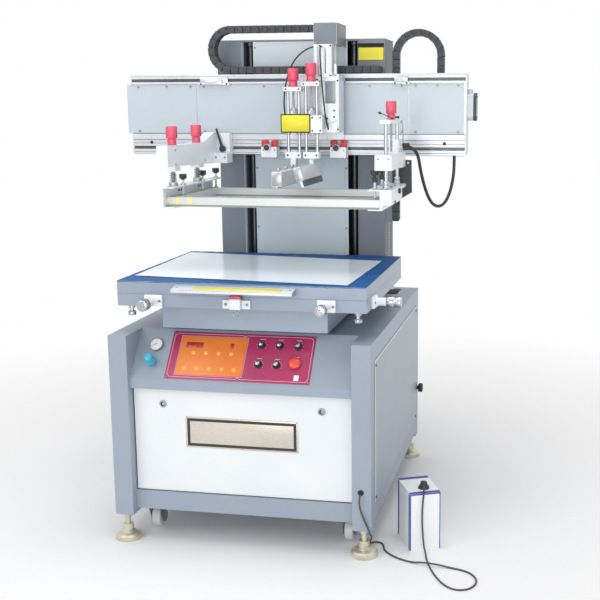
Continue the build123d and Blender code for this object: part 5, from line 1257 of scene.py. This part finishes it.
def liftChainPath(s):
    middle, r, foot, bend, end = 471.0, 88.0, 1021.0, 1678.0, 1491.0
    arc = math.pi * r
    first = bend - foot
    if s is None:
        return first, arc, bend - end
    if s < first:
        return (middle - r, foot + s), (0, 1)
    if s < first + arc:
        a = (s - first) / r
        return (middle - r * math.cos(a), bend + r * math.sin(a)), (math.sin(a), math.cos(a))
    return (middle + r, bend - (s - first - arc)), (0, -1)


chainLooks = {
    "beamChain": {"path": beamChainPath, "y": 828, "width": 44, "stands": "beam_chain", "body": "beam_chain",
                  "from": "head", "to": "carriage"},
    "liftChain": {"path": liftChainPath, "y": 912, "width": 38, "stands": "lift_chain", "body": "lift_chain",
                  "from": "cabinet", "to": "head"},
}
for name, look in chainLooks.items():
    makeChain(name, look)
print("column and beam dressed")

knobLooks = {  # screw is its foot and radius
    "leftKnobFront": {"node": "left_height_knob_front", "body": "left_knob_front", "spot": (-323.1, 320),
                      "low": 1352.3, "high": 1418.2, "wide": 20, "neck": 16, "step": 1376, "screw": (1213.2, 7.1)},
    "leftKnobRear": {"node": "left_height_knob_rear", "body": "left_knob_rear", "spot": (-323.1, 565),
                     "low": 1352.3, "high": 1418.2, "wide": 20, "neck": 16, "step": 1376, "screw": (1213.2, 7.1)},
    "rightKnob": {"node": "right_height_knob", "body": "right_knob", "spot": (440, 450),
                  "low": 1440.3, "high": 1504.2, "wide": 18.5, "neck": 14.5, "step": 1461, "screw": (1328.2, 5.0)},
    "floodKnob": {"node": "flood_knob", "body": "flood_knob", "spot": (34, 650),
                  "low": 1557.3, "high": 1625.2, "wide": 21, "neck": 16, "step": 1581, "screw": (1474.0, 4.8)},
    "squeegeeKnob": {"node": "squeegee_knob", "body": "squeegee_knob", "spot": (103, 650),
                     "low": 1576.3, "high": 1644.2, "wide": 21, "neck": 16, "step": 1600, "screw": (1474.0, 4.8)},
}


def makeRedKnob(name, look):
    # a stepped knob with ribs round its upper part, on a threaded screw
    (x, y), low, high = look["spot"], look["low"], look["high"]
    wide, neck, step = look["wide"], look["neck"], look["step"]
    foot, screw = look["screw"]
    bm = bmesh.new()
    addTurned(bm, [(neck - 1.5, low), (neck, low + 1.5), (neck, step - 4), (neck - 1.6, step - 3.2),
                   (neck - 1.6, step - 1.6), (neck, step - 0.8), (wide - 1.2, step), (wide, step + 1.6, 0.7),
                   (wide, high - 4.2, 0.7), (wide - 1.2, high - 1.4), (wide - 3.4, high), (wide * 0.5, high),
                   (wide * 0.46, high - 1.4), (0, high - 1.4)], (x, y, 0), steps=72)
    keepPiece(name, bm, look["body"], "redAnodised", "red_anodised", [look["node"]])
    bm = bmesh.new()
    addThread(bm, x, y, foot, low + 1, screw, 2.4)
    addScrew(bm, (x, y, high - 1.4), (0, 0, 1), wide * 0.36, 1.8)
    keepPiece(f"{name}Screw", bm, look["body"], *screwParts)


for name, look in knobLooks.items():
    makeRedKnob(name, look)

clampLook = {
    "left": {"x": -311.1, "rows": (384, 590, 740), "star": 1230.0, "stud": 1228.0, "nut": 1207.0},
    "right": {"x": 403.1, "rows": (330, 470), "star": 1254.0, "stud": 1226.0, "nut": 1205.0},
    "slots": (  # X of a face, its depths, and the slots' Y
        (-339.1, (0.02, 0.3), ((408, 424), (432, 448), (616, 626), (634, 644), (652, 662))),
        (-343.1, (-0.3, -0.02), ((300, 322), (408, 424), (432, 448), (616, 626), (634, 644), (700, 722))),
    ),
    "spindles": (-323.1, (320, 565)),
    "rods": (440, (342, 580)),
    "topScrews": (318, 425, 500),
}


def starHead(bm, x, y, low, high, reach, lobes=6):
    outline = []
    for k in range(lobes * 8):
        turn = 2 * math.pi * k / (lobes * 8)
        radius = reach * (0.86 + 0.14 * math.cos(lobes * turn))
        outline.append((x + radius * math.cos(turn), y + radius * math.sin(turn)))
    addPrism(bm, outline, low, high, soft=0.9)
    addTurned(bm, [(reach * 0.5, low - 4), (reach * 0.56, low + 0.5)], (x, y, 0), steps=24)
    addTurned(bm, [(reach * 0.5, high - 0.5), (reach * 0.44, high + 1), (0, high + 1)], (x, y, 0), steps=24)


def makeThumbScrews(look):
    for word in ("left", "right"):
        body, side = f"{word}_channel", look[word]
        x, star = side["x"], side["star"]
        bm = bmesh.new()
        for y in side["rows"]:
            if word == "right":
                addTurned(bm, [(9.3, 1228.6), (9.3, 1245.4), (4.4, 1246), (4.4, 1256)], (x, y, 0), steps=24)
            starHead(bm, x, y, star, star + 16.2, 14.5)
        keepPiece(f"{word}Stars", bm, body, *blackParts)
        bm = bmesh.new()
        for y in side["rows"]:
            addThread(bm, x, y, 1170.4, side["stud"], 4.25, 1.8)
            addPrism(bm, arcSpots(x, y, 9.4, 15, 60, 6), side["nut"], 1214.2, soft=0.5)
            addTurned(bm, [(7.5, 1170.35), (7.5, 1173.5), (5, 1175)], (x, y, 0), steps=20)
        keepPiece(f"{word}Studs", bm, body, "screwMetal", "light_metal")
    # slots of the left channel, and the round collars and springs of its spindles
    bm = bmesh.new()
    for x, depth, slots in look["slots"]:
        for l, r in slots:
            addBlock(bm, (-r, -l), (1182, 1189.5), depth, 0, wallOf(x, -1))
    keepPiece("leftSlots", bm, "left_channel", *gapParts)
    x, rows = look["spindles"]
    collar = [(16.4, 1207.1), (16.4, 1219.6), (15, 1221.4), (10.6, 1221.4), (10.6, 1217)]
    bm = bmesh.new()
    for y in rows:
        addTurned(bm, collar, (x, y, 0), steps=40)
    keepPiece("leftCollars", bm, "left_channel", "screwMetal", "light_metal")
    turns = [0.4 * k for k in range(79)]
    bm = bmesh.new()
    for y in rows:
        addWire(bm, [(x + 11.2 * math.cos(a), y + 11.2 * math.sin(a), 1223 + a) for a in turns], 1.5, 8)
    keepPiece("leftSprings", bm, "left_channel", *steelParts)
    # bright rods of the right channel with their collars and top screws
    x, rows = look["rods"]
    collar = [(11.8, 1205.2), (11.8, 1216), (10.4, 1217.4), (8, 1217.4), (8, 1221), (10.2, 1221), (10.4, 1222.5),
              (10.4, 1229.5), (9.6, 1231.4), (6.6, 1231.4)]
    bm = bmesh.new()
    for y in rows:
        addTurned(bm, [(6.54, 1231.5), (6.54, 1426.8)], (x, y, 0))
        addTurned(bm, collar, (x, y, 0), steps=40)
        addScrew(bm, (x, y, 1440), (0, 0, 1), 7.5, 5.0)
    keepPiece("rightRods", bm, "right_channel", *chromeParts)
    # side screw of the right channel and the screws on its top
    bm = bmesh.new()
    addTurned(bm, [(9.4, 0), (9.4, 6.3), (8.2, 7.4), (4.6, 7.4), (3.9, 3.5), (0, 3.5)], (468, 445, 1191), (1, 0, 0))
    addTurned(bm, [(4.5, 0), (4.5, 3), (0, 3.4)], (468, 360, 1160), (1, 0, 0), 20)
    for y in look["topScrews"]:
        addScrew(bm, (445, y, 1205), (0, 0, 1), 4.2, 2.4)
    keepPiece("rightChannelScrews", bm, "right_channel", *blackParts)


makeThumbScrews(clampLook)

leftArmLook = {"inner": -303.1, "sideScrews": ((300, 1284), (300, 1335), (600, 1284)), "front": 705.0}


def makeLeftArmTrim(look):
    side = wallOf(look["inner"], -1)
    bm = bmesh.new()
    for y, z in look["sideScrews"]:
        addScrew(bm, (-y, z, 0), out, 4.4, 2.2, side)
    for x in (-296, -260):
        addScrew(bm, (x, 1290, 0), out, 4.0, 2.4, facing(look["front"]))
    keepPiece("leftArmScrews", bm, "left_arm", *steelParts)


makeLeftArmTrim(leftArmLook)

rightArmLook = {"bracket": ((454, 1150), (490, 1172), (488, 1290), (438, 1292), (438, 1256)), "y": 619.0,
                "front": 300.0, "lever": (405, 420, 1463), "fitting": (450.5, 596, 1340)}


def makeRightArmTrim(look):
    bm = bmesh.new()
    upright = facing(look["y"])
    middle = Vector((465, 1225))
    outline = [tuple(middle + (Vector(p) - middle) * 1.006) for p in look["bracket"]]
    addPrism(bm, outline, -0.4, 6.4, upright)
    keepPiece("armBracket", bm, "right_arm", "chainPlastic", "caster_grey")
    spots = [(x, 1280, 6.4) for x in (452, 476)]
    keepScrews("armBracketScrews", spots, out, 4.5, 2.5, upright, "right_arm", *chromeParts)
    # block's screws, the lever on the front rod, and the link beside the housing
    spots = [(x, 1309, 0) for x in (420, 456)]
    keepScrews("armBlockScrews", spots, out, 3.6, 2.0, facing(look["front"]), "right_arm", *steelParts)
    tip = look["lever"]
    bm = bmesh.new()
    addTurned(bm, [(9, 1443.4), (9, 1449), (7.6, 1450.4), (0, 1450.4)], (440, 580, 0), steps=28)
    addWire(bm, [tip, (428, 408, 1455), (452, 398, 1445.5)], 1.7, 10)
    addTurned(bm, [(4.2, -4), (4.6, 0), (4.2, 4)], tip, (0.9, -0.4, -0.3), 16)
    addTurned(bm, [(4, 0), (4, 6)], (452, 398, 1440.2), (0, 0, 1), 16)
    keepPiece("rodLever", bm, "right_channel", *blackParts)
    run = ((459, 560, 1434), (463, 566, 1412), (464, 572, 1382), (461, 580, 1364))
    bm = bmesh.new()
    addWire(bm, run, 2.2, 10)
    for spot in (run[0], run[-1]):
        addTurned(bm, [(2, -5), (4.4, -3.4), (5.2, 0), (4.4, 3.4), (2, 5)], spot, (1, 0, 0), 20)
    keepPiece("stopLink", bm, "right_arm", *screwParts)
    # push-in fitting of the hose
    spot = look["fitting"]
    bm = bmesh.new()
    addTurned(bm, [(11, -0.5), (11, 4.5), (9.6, 5.5), (9.6, 8.0), (6.6, 8.2), (6.6, 8.9)], spot, (1, 0, 0), 6)
    keepPiece("armFitting", bm, "right_arm", *screwParts)
    bm = bmesh.new()
    addTurned(bm, [(10.4, 8.9), (10.4, 13), (7.4, 20), (6.0, 30), (5.4, 34), (4.9, 34)], spot, (0.96, -0.02, 0.28))
    keepPiece("armRelief", bm, "right_arm", "hoseRubber", "black_rubber")


makeRightArmTrim(rightArmLook)
print("clamps dressed")

carriageLook = {
    "rows": (34.0, 103.0), "rodGap": 21.0, "rodY": 650.0, "front": 625.0,
    "label": ((-5.5, 101), (1392.2, 1453)), "labelRim": ((-9.5, 105), (1388.2, 1457)),
    "box": ((104.6, 194.4), (689.6, 854.4), (1713.6, 1793.5)),
    "tube": ((126.5, 175.5), (680.5, 729.5), (1603, 1703)), "caps": ((1592.2, 1604), (1702, 1713.6)),
    "ties": (131, 171), "smallTube": (113, 694),
    "gusset": ((140, 1452), (152, 1452), (195.6, 1506), (195.6, 1432), (166, 1420), (140, 1428)), "gussetFace": 682.0,
    "plateScrews": ((112, 1396), (142, 1396), (142, 1444), (112, 1444)),
}


def makeCarriageTrim(look):
    ahead = facing(look["front"])
    keepBlocks("carriageLabelRim", [(*look["labelRim"], (0.2, 2.8))], 0.5, ahead,
               "carriage", *gapParts)
    keepBlocks("carriageLabel", [(*look["label"], (2.7, 3.1))], 0.3, ahead,
               "carriage", "yellowLabel", "carton")
    # box at the chain's moving end
    box = look["box"]
    keepBlocks("chainBox", [box], 2.2, machine,
               "carriage", "pillarPaint", "column_grey")
    bm = bmesh.new()
    for z in (1721, 1786):
        for x in (112, 187):
            addScrew(bm, (x, z, 0), out, 3.4, 1.8, facing(box[1][0]))
    for z in (1721, 1786):
        for y in (705, 840):
            addScrew(bm, (y, z, 0), out, 3.4, 1.8, wallOf(box[0][1]))
    keepPiece("chainBoxScrews", bm, "carriage", *steelParts)
    # large cylinder with end caps, tie rods and a groove down each face
    keepBlocks("cylinderTube", [look["tube"]], 2.5, machine,
               "carriage", "panelPaint", "white_panel")
    bm = bmesh.new()
    for z in look["caps"]:
        addBlock(bm, (125.6, 176.4), (679.6, 730.4), z, 1.6)
    for x in look["ties"]:
        addTurned(bm, [(3, 1604), (3, 1702)], (x, 678.4, 0), steps=14)
    addTurned(bm, [(10.8, 1592.2), (10.8, 1599), (9.9, 1600), (9.9, 1704), (10.8, 1705), (10.8, 1713.6)],
              (*look["smallTube"], 0), steps=36)
    keepPiece("cylinderEnds", bm, "carriage", "armMetal", "light_metal")
    bm = bmesh.new()
    addBlock(bm, (149.4, 152.6), (680.0, 680.6), (1608, 1698), 0)
    addBlock(bm, (175.4, 176.0), (703, 707), (1608, 1698), 0)
    for x in look["ties"]:
        for z in (1598, 1708):
            addScrew(bm, (x, 679.6, z), (0, -1, 0), 3.6, 2.4)
    keepPiece("cylinderGrooves", bm, "carriage", *gapParts)
    # right edge bar, gusset, top plate and the two hangers beside the cylinders
    gusset = facing(look["gussetFace"])
    bm = bmesh.new()
    addBlock(bm, (195.5, 203.4), (671, 682.2), (1388, 1604), 0.8)
    addPrism(bm, look["gusset"], 0.2, 7.0, gusset, 0.5)
    addBlock(bm, (96, 203.4), (675, 740), (1591.4, 1596.5), 0.8)
    addBlock(bm, (96, 124), (672, 682), (1576, 1592), 0.8)
    addBlock(bm, (186, 194), (676, 682), (1604, 1640), 0.6)
    keepPiece("carriageBars", bm, "carriage", "armMetal", "table_aluminium")
    bm = bmesh.new()
    for x, z, y in ((199.5, 1400, 671.0), (199.5, 1580, 671.0), (120, 1584, 672.0)):
        addScrew(bm, (x, z, 0), out, 3.2, 2.0, facing(y))
    for x, z in ((158, 1440), (184, 1470), (184, 1446)):
        addScrew(bm, (x, z, 7.0), out, 3.6, 2.2, gusset)
    for x, z in look["plateScrews"]:
        addScrew(bm, (x, z, 0), out, 3.4, 2.0, ahead)
    keepPiece("carriageScrews", bm, "carriage", *blackParts)
    # flanges of the guide bushes, and the cone nuts
    upper = [(10.5, 1452), (10.5, 1456.4), (8.4, 1458.4), (6.6, 1458.4), (6.6, 1452), (10.5, 1452)]
    lower = [(6.6, 1388), (10.5, 1388), (10.5, 1383.6), (8.4, 1381.6), (6.6, 1381.6), (6.6, 1388)]
    cone = [(16.3, 1452.2), (16.3, 1466.2), (13, 1472), (9, 1480), (6.5, 1480), (6.5, 1452.2), (16.3, 1452.2)]
    y = look["rodY"]
    bm = bmesh.new()
    for centre in look["rows"]:
        for x in (centre - look["rodGap"], centre + look["rodGap"]):
            addTurned(bm, upper, (x, y, 0))
            addTurned(bm, lower, (x, y, 0))
        addTurned(bm, cone, (centre, y, 0), steps=40)
    keepPiece("guideFlanges", bm, "carriage", *screwParts)


makeCarriageTrim(carriageLook)

unitLook = {
    "units": {"flood": (34.0, 1541.0), "squeegee": (103.0, 1560.0)},  # middle X, foot of the cross plate
    "cross": 16.0, "rodGap": 21, "rodY": 650, "barStart": 400, "barLong": 300, "barScrews": (424, 520, 612),
    "tilt": 18.6, "pin": (103, 400, 1282), "clamps": (0.1, 0.3, 0.7, 0.9),
}


def makeUnits(look):
    gap, y = look["rodGap"], look["rodY"]
    for word, (centre, cross) in look["units"].items():
        top = cross + look["cross"]
        bm = bmesh.new()
        for x in (centre - gap, centre + gap):
            addTurned(bm, [(6.04, 1316.2), (6.04, cross - 0.2)], (x, y, 0), steps=28)
            addTurned(bm, [(8.2, 1316.0), (8.2, 1322), (6.2, 1323)], (x, y, 0), steps=24)
            addTurned(bm, [(5.6, top - 0.5), (5.6, top + 3.6), (4.8, top + 4.4), (2.9, top + 4.4), (2.6, top + 1.5),
                           (0, top + 1.5)], (x, y, 0), steps=24)
        keepPiece(f"{word}Rods", bm, word, *chromeParts)
        bm = bmesh.new()
        for side in (-1, 1):
            addScrew(bm, (centre + side * gap, y - 18, 1304), (0, -1, 0), 3.6, 2.2)
            addScrew(bm, (centre + side * (gap + 4), y - 18, cross + 8), (0, -1, 0), 3.0, 1.8)
        keepPiece(f"{word}UnitScrews", bm, word, *blackParts)
    # flood bar: end plates, clamp screws and the thin steel blade
    start, long = look["barStart"], look["barLong"]
    bm = bmesh.new()
    for y in (start - 1.1, start + long + 0.1):
        addBlock(bm, (17, 51), (y, y + 1), (1206, 1252), 0.4)
    for y in look["barScrews"]:
        addTurned(bm, [(3.4, 1254.8), (3.4, 1259), (8.4, 1260, 0.5), (8.4, 1268, 0.5), (7.2, 1269.4), (0, 1269.4)],
                  (34, y, 0), steps=36)
    addBlock(bm, (30.8, 37.2), (start + 0.5, start + long - 0.5), (1197.0, 1203.2), 0.3)
    keepPiece("floodBlade", bm, "flood", *screwParts)
    # squeegee holder in its tilted frame: X across the jaw, Y down to the blade, Z back along the bar
    tilt = math.radians(look["tilt"])
    down = Vector((math.sin(tilt), 0, -math.cos(tilt)))
    across = Vector((math.cos(tilt), 0, math.sin(tilt)))
    jaw = Matrix((across, down, across.cross(down))).transposed().to_4x4()
    jaw.translation = Vector(look["pin"])
    jaw = machine @ jaw
    inset = (2.2, long - 2.2)
    keepBlocks("squeegeeRubber", [((-4.8, 4.8), (61.2, 84.4), inset)], 0.6, jaw,
               "holder", "bladeRubber", "black_rubber")
    bm = bmesh.new()
    for z in (-0.9, long - 0.1):
        addBlock(bm, (-12, 12), (13, 59), (z, z + 1), 0.4, jaw)
    addBlock(bm, (-13.5, -12.9), (38, 44), inset, 0.2, jaw)
    for part in look["clamps"]:
        addTurned(bm, [(3.2, -0.5), (3.2, 2.2), (6.8, 3.0, 0.5), (6.8, 9, 0.5), (5.6, 10.2), (0, 10.2)],
                  (-13, 50, long * part), (-1, 0, 0), place=jaw)
    keepPiece("holderClamps", bm, "holder", *screwParts)


makeUnits(unitLook)

stopBlockLook = {"left": -91.0, "right": 184.0}


def makeLimitStops(look):
    knob = [(7, -0.2), (7, 4), (12.2, 4.6), (13.3, 6, 0.8), (13.3, 12.6, 0.8), (11.6, 14.4), (4, 14.6), (0, 14.7)]
    for word, x in look.items():
        l, r, body = x - 31, x + 31, f"{word}_stop"
        pads = [(span, (743.4, 769.8), (1330.6, 1355.3)) for span in ((l - 0.3, l + 23.3), (r - 23.3, r + 0.3))]
        keepBlocks(f"{word}StopPads", pads, 1.2, machine, body, "stopRed", "red_anodised")
        bm = bmesh.new()
        addTurned(bm, knob, (x - 6, 738, 1328), (0, -1, 0), 36)
        keepPiece(f"{word}StopKnob", bm, body, *blackParts)
        bm = bmesh.new()
        for u in (l + 8, r - 8):
            addScrew(bm, (u, 738, 1318), (0, -1, 0), 3.6, 2.2)
            addTurned(bm, [(6, 1283), (6.4, 1284.5), (6.4, 1289.8)], (u, 752, 0), steps=20)
        keepPiece(f"{word}StopScrews", bm, body, *screwParts)


makeLimitStops(stopBlockLook)
print("carriage dressed")

screenLook = {"inner": (-305, 393, 322, 709), "outer": (-339, 427, 288, 743), "mesh": 1139.9, "high": 1170.3,
              "glue": 16, "cells": (46, 26), "tapes": ((-332, -322), (-304, -288), (-262, -240))}


def makeScreen(look):
    l, r, f, b = look["inner"]
    left, right, front, back = look["outer"]
    mesh, high, glue = look["mesh"], look["high"], look["glue"]
    nx, ny = look["cells"]
    bm = bmesh.new()
    grid = [[bm.verts.new(at(l + (r - l) * i / nx, f + (b - f) * j / ny, mesh)) for i in range(nx + 1)]
            for j in range(ny + 1)]
    addSheet(bm, grid)
    fabric = keepPiece("screenMesh", bm, "screen", "meshFabric", "mesh_fabric", ["screen_mesh"])
    # glue band round the mesh, corner welds and tapes
    level = (mesh + 0.1, mesh + 0.5)
    keepBlocks("meshGlue", [((l, r), (f, f + glue), level), ((l, r), (b - glue, b), level),
                            ((l, l + glue), (f + glue, b - glue), level), ((r - glue, r), (f + glue, b - glue), level)],
               0, machine, "screen", "glueBand", "mesh_fabric")
    steps = 9
    bm = bmesh.new()
    runs = (((left, front), (l, f)), ((r, f), (right, front)), ((left, back), (l, b)), ((r, b), (right, back)))
    for start, end in runs:
        points = []
        for k in range(steps + 1):
            spot = Vector(start).lerp(Vector(end), 0.04 + 0.92 * k / steps)
            points.append((spot.x, spot.y, high + 0.1 + 0.25 * (k % 2)))
        addWire(bm, points, 1.1, 8)
    keepPiece("cornerWelds", bm, "screen", "screwMetal", "screen_ivory")
    bm = bmesh.new()
    for span in look["tapes"]:
        addBlock(bm, span, (287.75, 288.0), (1146, 1170.3), 0)
        addBlock(bm, span, (287.75, 312), (1170.25, 1170.5), 0)
    keepPiece("frameTapes", bm, "screen", "tapeYellow", "carton")
    # dark strips of painted shade along the frame's lower front edge, the inner front edge of its top and low on its
    # back inner wall
    keepBlocks("frameLine", [((left + 0.5, right - 0.5), (287.85, 288.05), (1138.6, 1145.5)),
                             ((l + 1, r - 1), (f - 2.2, f - 0.4), (1170.25, 1170.45)),
                             ((l + 1, r - 1), (b - 0.35, b + 0.1), (1141, 1146))],
               0, machine, "screen", "frameShade", "screen_ivory")


makeScreen(screenLook)

cartonLook = {"corner": (567, 82), "turn": 24, "size": (107, 158, 205), "gland": (61, 46), "print": 0.3}


def makeCarton(look):
    (w, d, h), (x, y), t = look["size"], look["corner"], look["print"]
    stand = machine @ Matrix.Translation((x, y, 0)) @ Matrix.Rotation(math.radians(look["turn"]), 4, "Z")
    # bands along the top, the front and both sides
    top, front, left, right = (h - 0.1, h + t), (-t, 0.1), (-t, 0.1), (w - 0.1, w + t)
    keepBlocks("cartonBands", [
        ((0.5, w - 0.5), (0.5, 17), top), ((0.5, w - 0.5), (d - 20, d - 0.5), top),
        ((0.5, w - 0.5), front, (h - 6, h - 0.5)),
        ((0.5, 4), front, (3, h - 6)), ((w - 3.5, w - 0.5), front, (3, h - 6)),
        (left, (0.5, 17), (3, h - 3)), (left, (d - 17, d - 0.5), (3, h - 3)),
        (right, (0.5, 12), (3, h - 3)), (right, (d - 12, d - 0.5), (3, h - 3)),
    ], 0, stand, "cabinet", "cartonBlue", "carton")
    # flap seam and a tuck slot
    keepBlocks("cartonSeams", [((1.0, w - 1.0), (d - 1.6, d - 0.9), (h - 0.1, h + 0.35)),
                               ((w / 2 - 9, w / 2 + 9), (d - 0.2, d + 0.25), (h - 16, h - 6))],
               0, stand, "cabinet", "shadowGap", "carton")
    gland = Matrix.Translation((*look["gland"], 0))
    bm = bmesh.new()
    addTurned(bm, [(19.5, h), (19.5, h + 2), (18.2, h + 3), (16.6, h + 6), (14.6, h + 11), (12.6, h + 16), (11, h + 20),
                   (10.2, h + 23.4), (8.4, h + 24.4), (0, h + 24.4)], (*look["gland"], 0), steps=40, place=stand)
    for k in range(6):
        spin = Matrix.Rotation(math.radians(60 * k), 4, "Z")
        addBlock(bm, (12.5, 18.6), (-1, 1), (h + 2, h + 9), 0.4, stand @ gland @ spin)
    keepPiece("cartonGland", bm, "cabinet", "hoseRubber", "black_rubber")


makeCarton(cartonLook)
print("screen and carton dressed")

studioLook = {
    "worldLevel": 0.62,
    "lamps": [  # spot, aim, size, watts
        ((-2.2, -3.2, 3.0), (0, 0, 0.9), 2.4, 32),
        ((2.6, -3.4, 1.6), (0, 0, 0.9), 2.0, 9),
        ((0.2, -0.3, 4.3), (0, 0.3, 1.0), 2.6, 54),
        ((0.3, -4.6, 1.0), (0, 0, 0.9), 2.6, 42),
    ],
    "floorColour": (0.93, 0.93, 0.935),
}


def makeStudio(look):
    world = bpy.data.worlds.new("studioWorld")
    bpy.context.scene.world = world
    world.use_nodes = True
    tree = world.node_tree
    back = tree.nodes["Background"]
    back.inputs["Color"].default_value = (1, 1, 1, 1)
    path = tree.nodes.new("ShaderNodeLightPath")
    seen = sums(tree, "MAXIMUM", path.outputs["Is Camera Ray"], path.outputs["Is Glossy Ray"])
    seen = sums(tree, "MAXIMUM", seen, path.outputs["Is Transmission Ray"])
    tree.links.new(spread(tree, seen, 0, 1, look["worldLevel"], 1.0), back.inputs["Strength"])
    for number, (spot, aim, size, watts) in enumerate(look["lamps"]):
        lamp = bpy.data.lights.new(f"softBox{number}", "AREA")
        lamp.shape = "DISK"
        lamp.size = size
        lamp.energy = watts
        stand = bpy.data.objects.new(f"softBox{number}", lamp)
        stand.location = spot
        stand.rotation_euler = (Vector(aim) - Vector(spot)).to_track_quat("-Z", "Y").to_euler()
        bpy.context.scene.collection.objects.link(stand)
    # the floor fades from a pale matt surface to plain white away from the machine
    ground = bpy.data.meshes.new("studioFloor")
    reach = 14
    corners = [(-reach, -reach, 0), (reach, -reach, 0), (reach, reach, 0), (-reach, reach, 0)]
    ground.from_pydata(corners, [], [(0, 1, 2, 3)])
    floor = bpy.data.objects.new("studioFloor", ground)
    bpy.context.scene.collection.objects.link(floor)
    finish, tree, shader, place = newFinish("floorFinish")
    shader.inputs["Roughness"].default_value = 0.9
    shade = tuple(v * 0.995 for v in look["floorColour"])
    tone = between(tree, cloud(tree, place, 2.0, 2.0), look["floorColour"], shade)
    tree.links.new(tone, shader.inputs["Base Color"])
    far = tree.nodes.new("ShaderNodeVectorMath")
    far.operation = "LENGTH"
    tree.links.new(place, far.inputs[0])
    glow = tree.nodes.new("ShaderNodeEmission")
    glow.inputs["Strength"].default_value = 1.0
    mix = tree.nodes.new("ShaderNodeMixShader")
    tree.links.new(spread(tree, far.outputs["Value"], 0.9, 3.0, 0, 1), mix.inputs[0])
    tree.links.new(shader.outputs["BSDF"], mix.inputs[1])
    tree.links.new(glow.outputs["Emission"], mix.inputs[2])
    output = tree.nodes["Material Output"]
    tree.links.new(mix.outputs["Shader"], output.inputs["Surface"])
    ground.materials.append(finish)
    bpy.context.scene.view_settings.view_transform = "Standard"


makeStudio(studioLook)
print("studio lit")
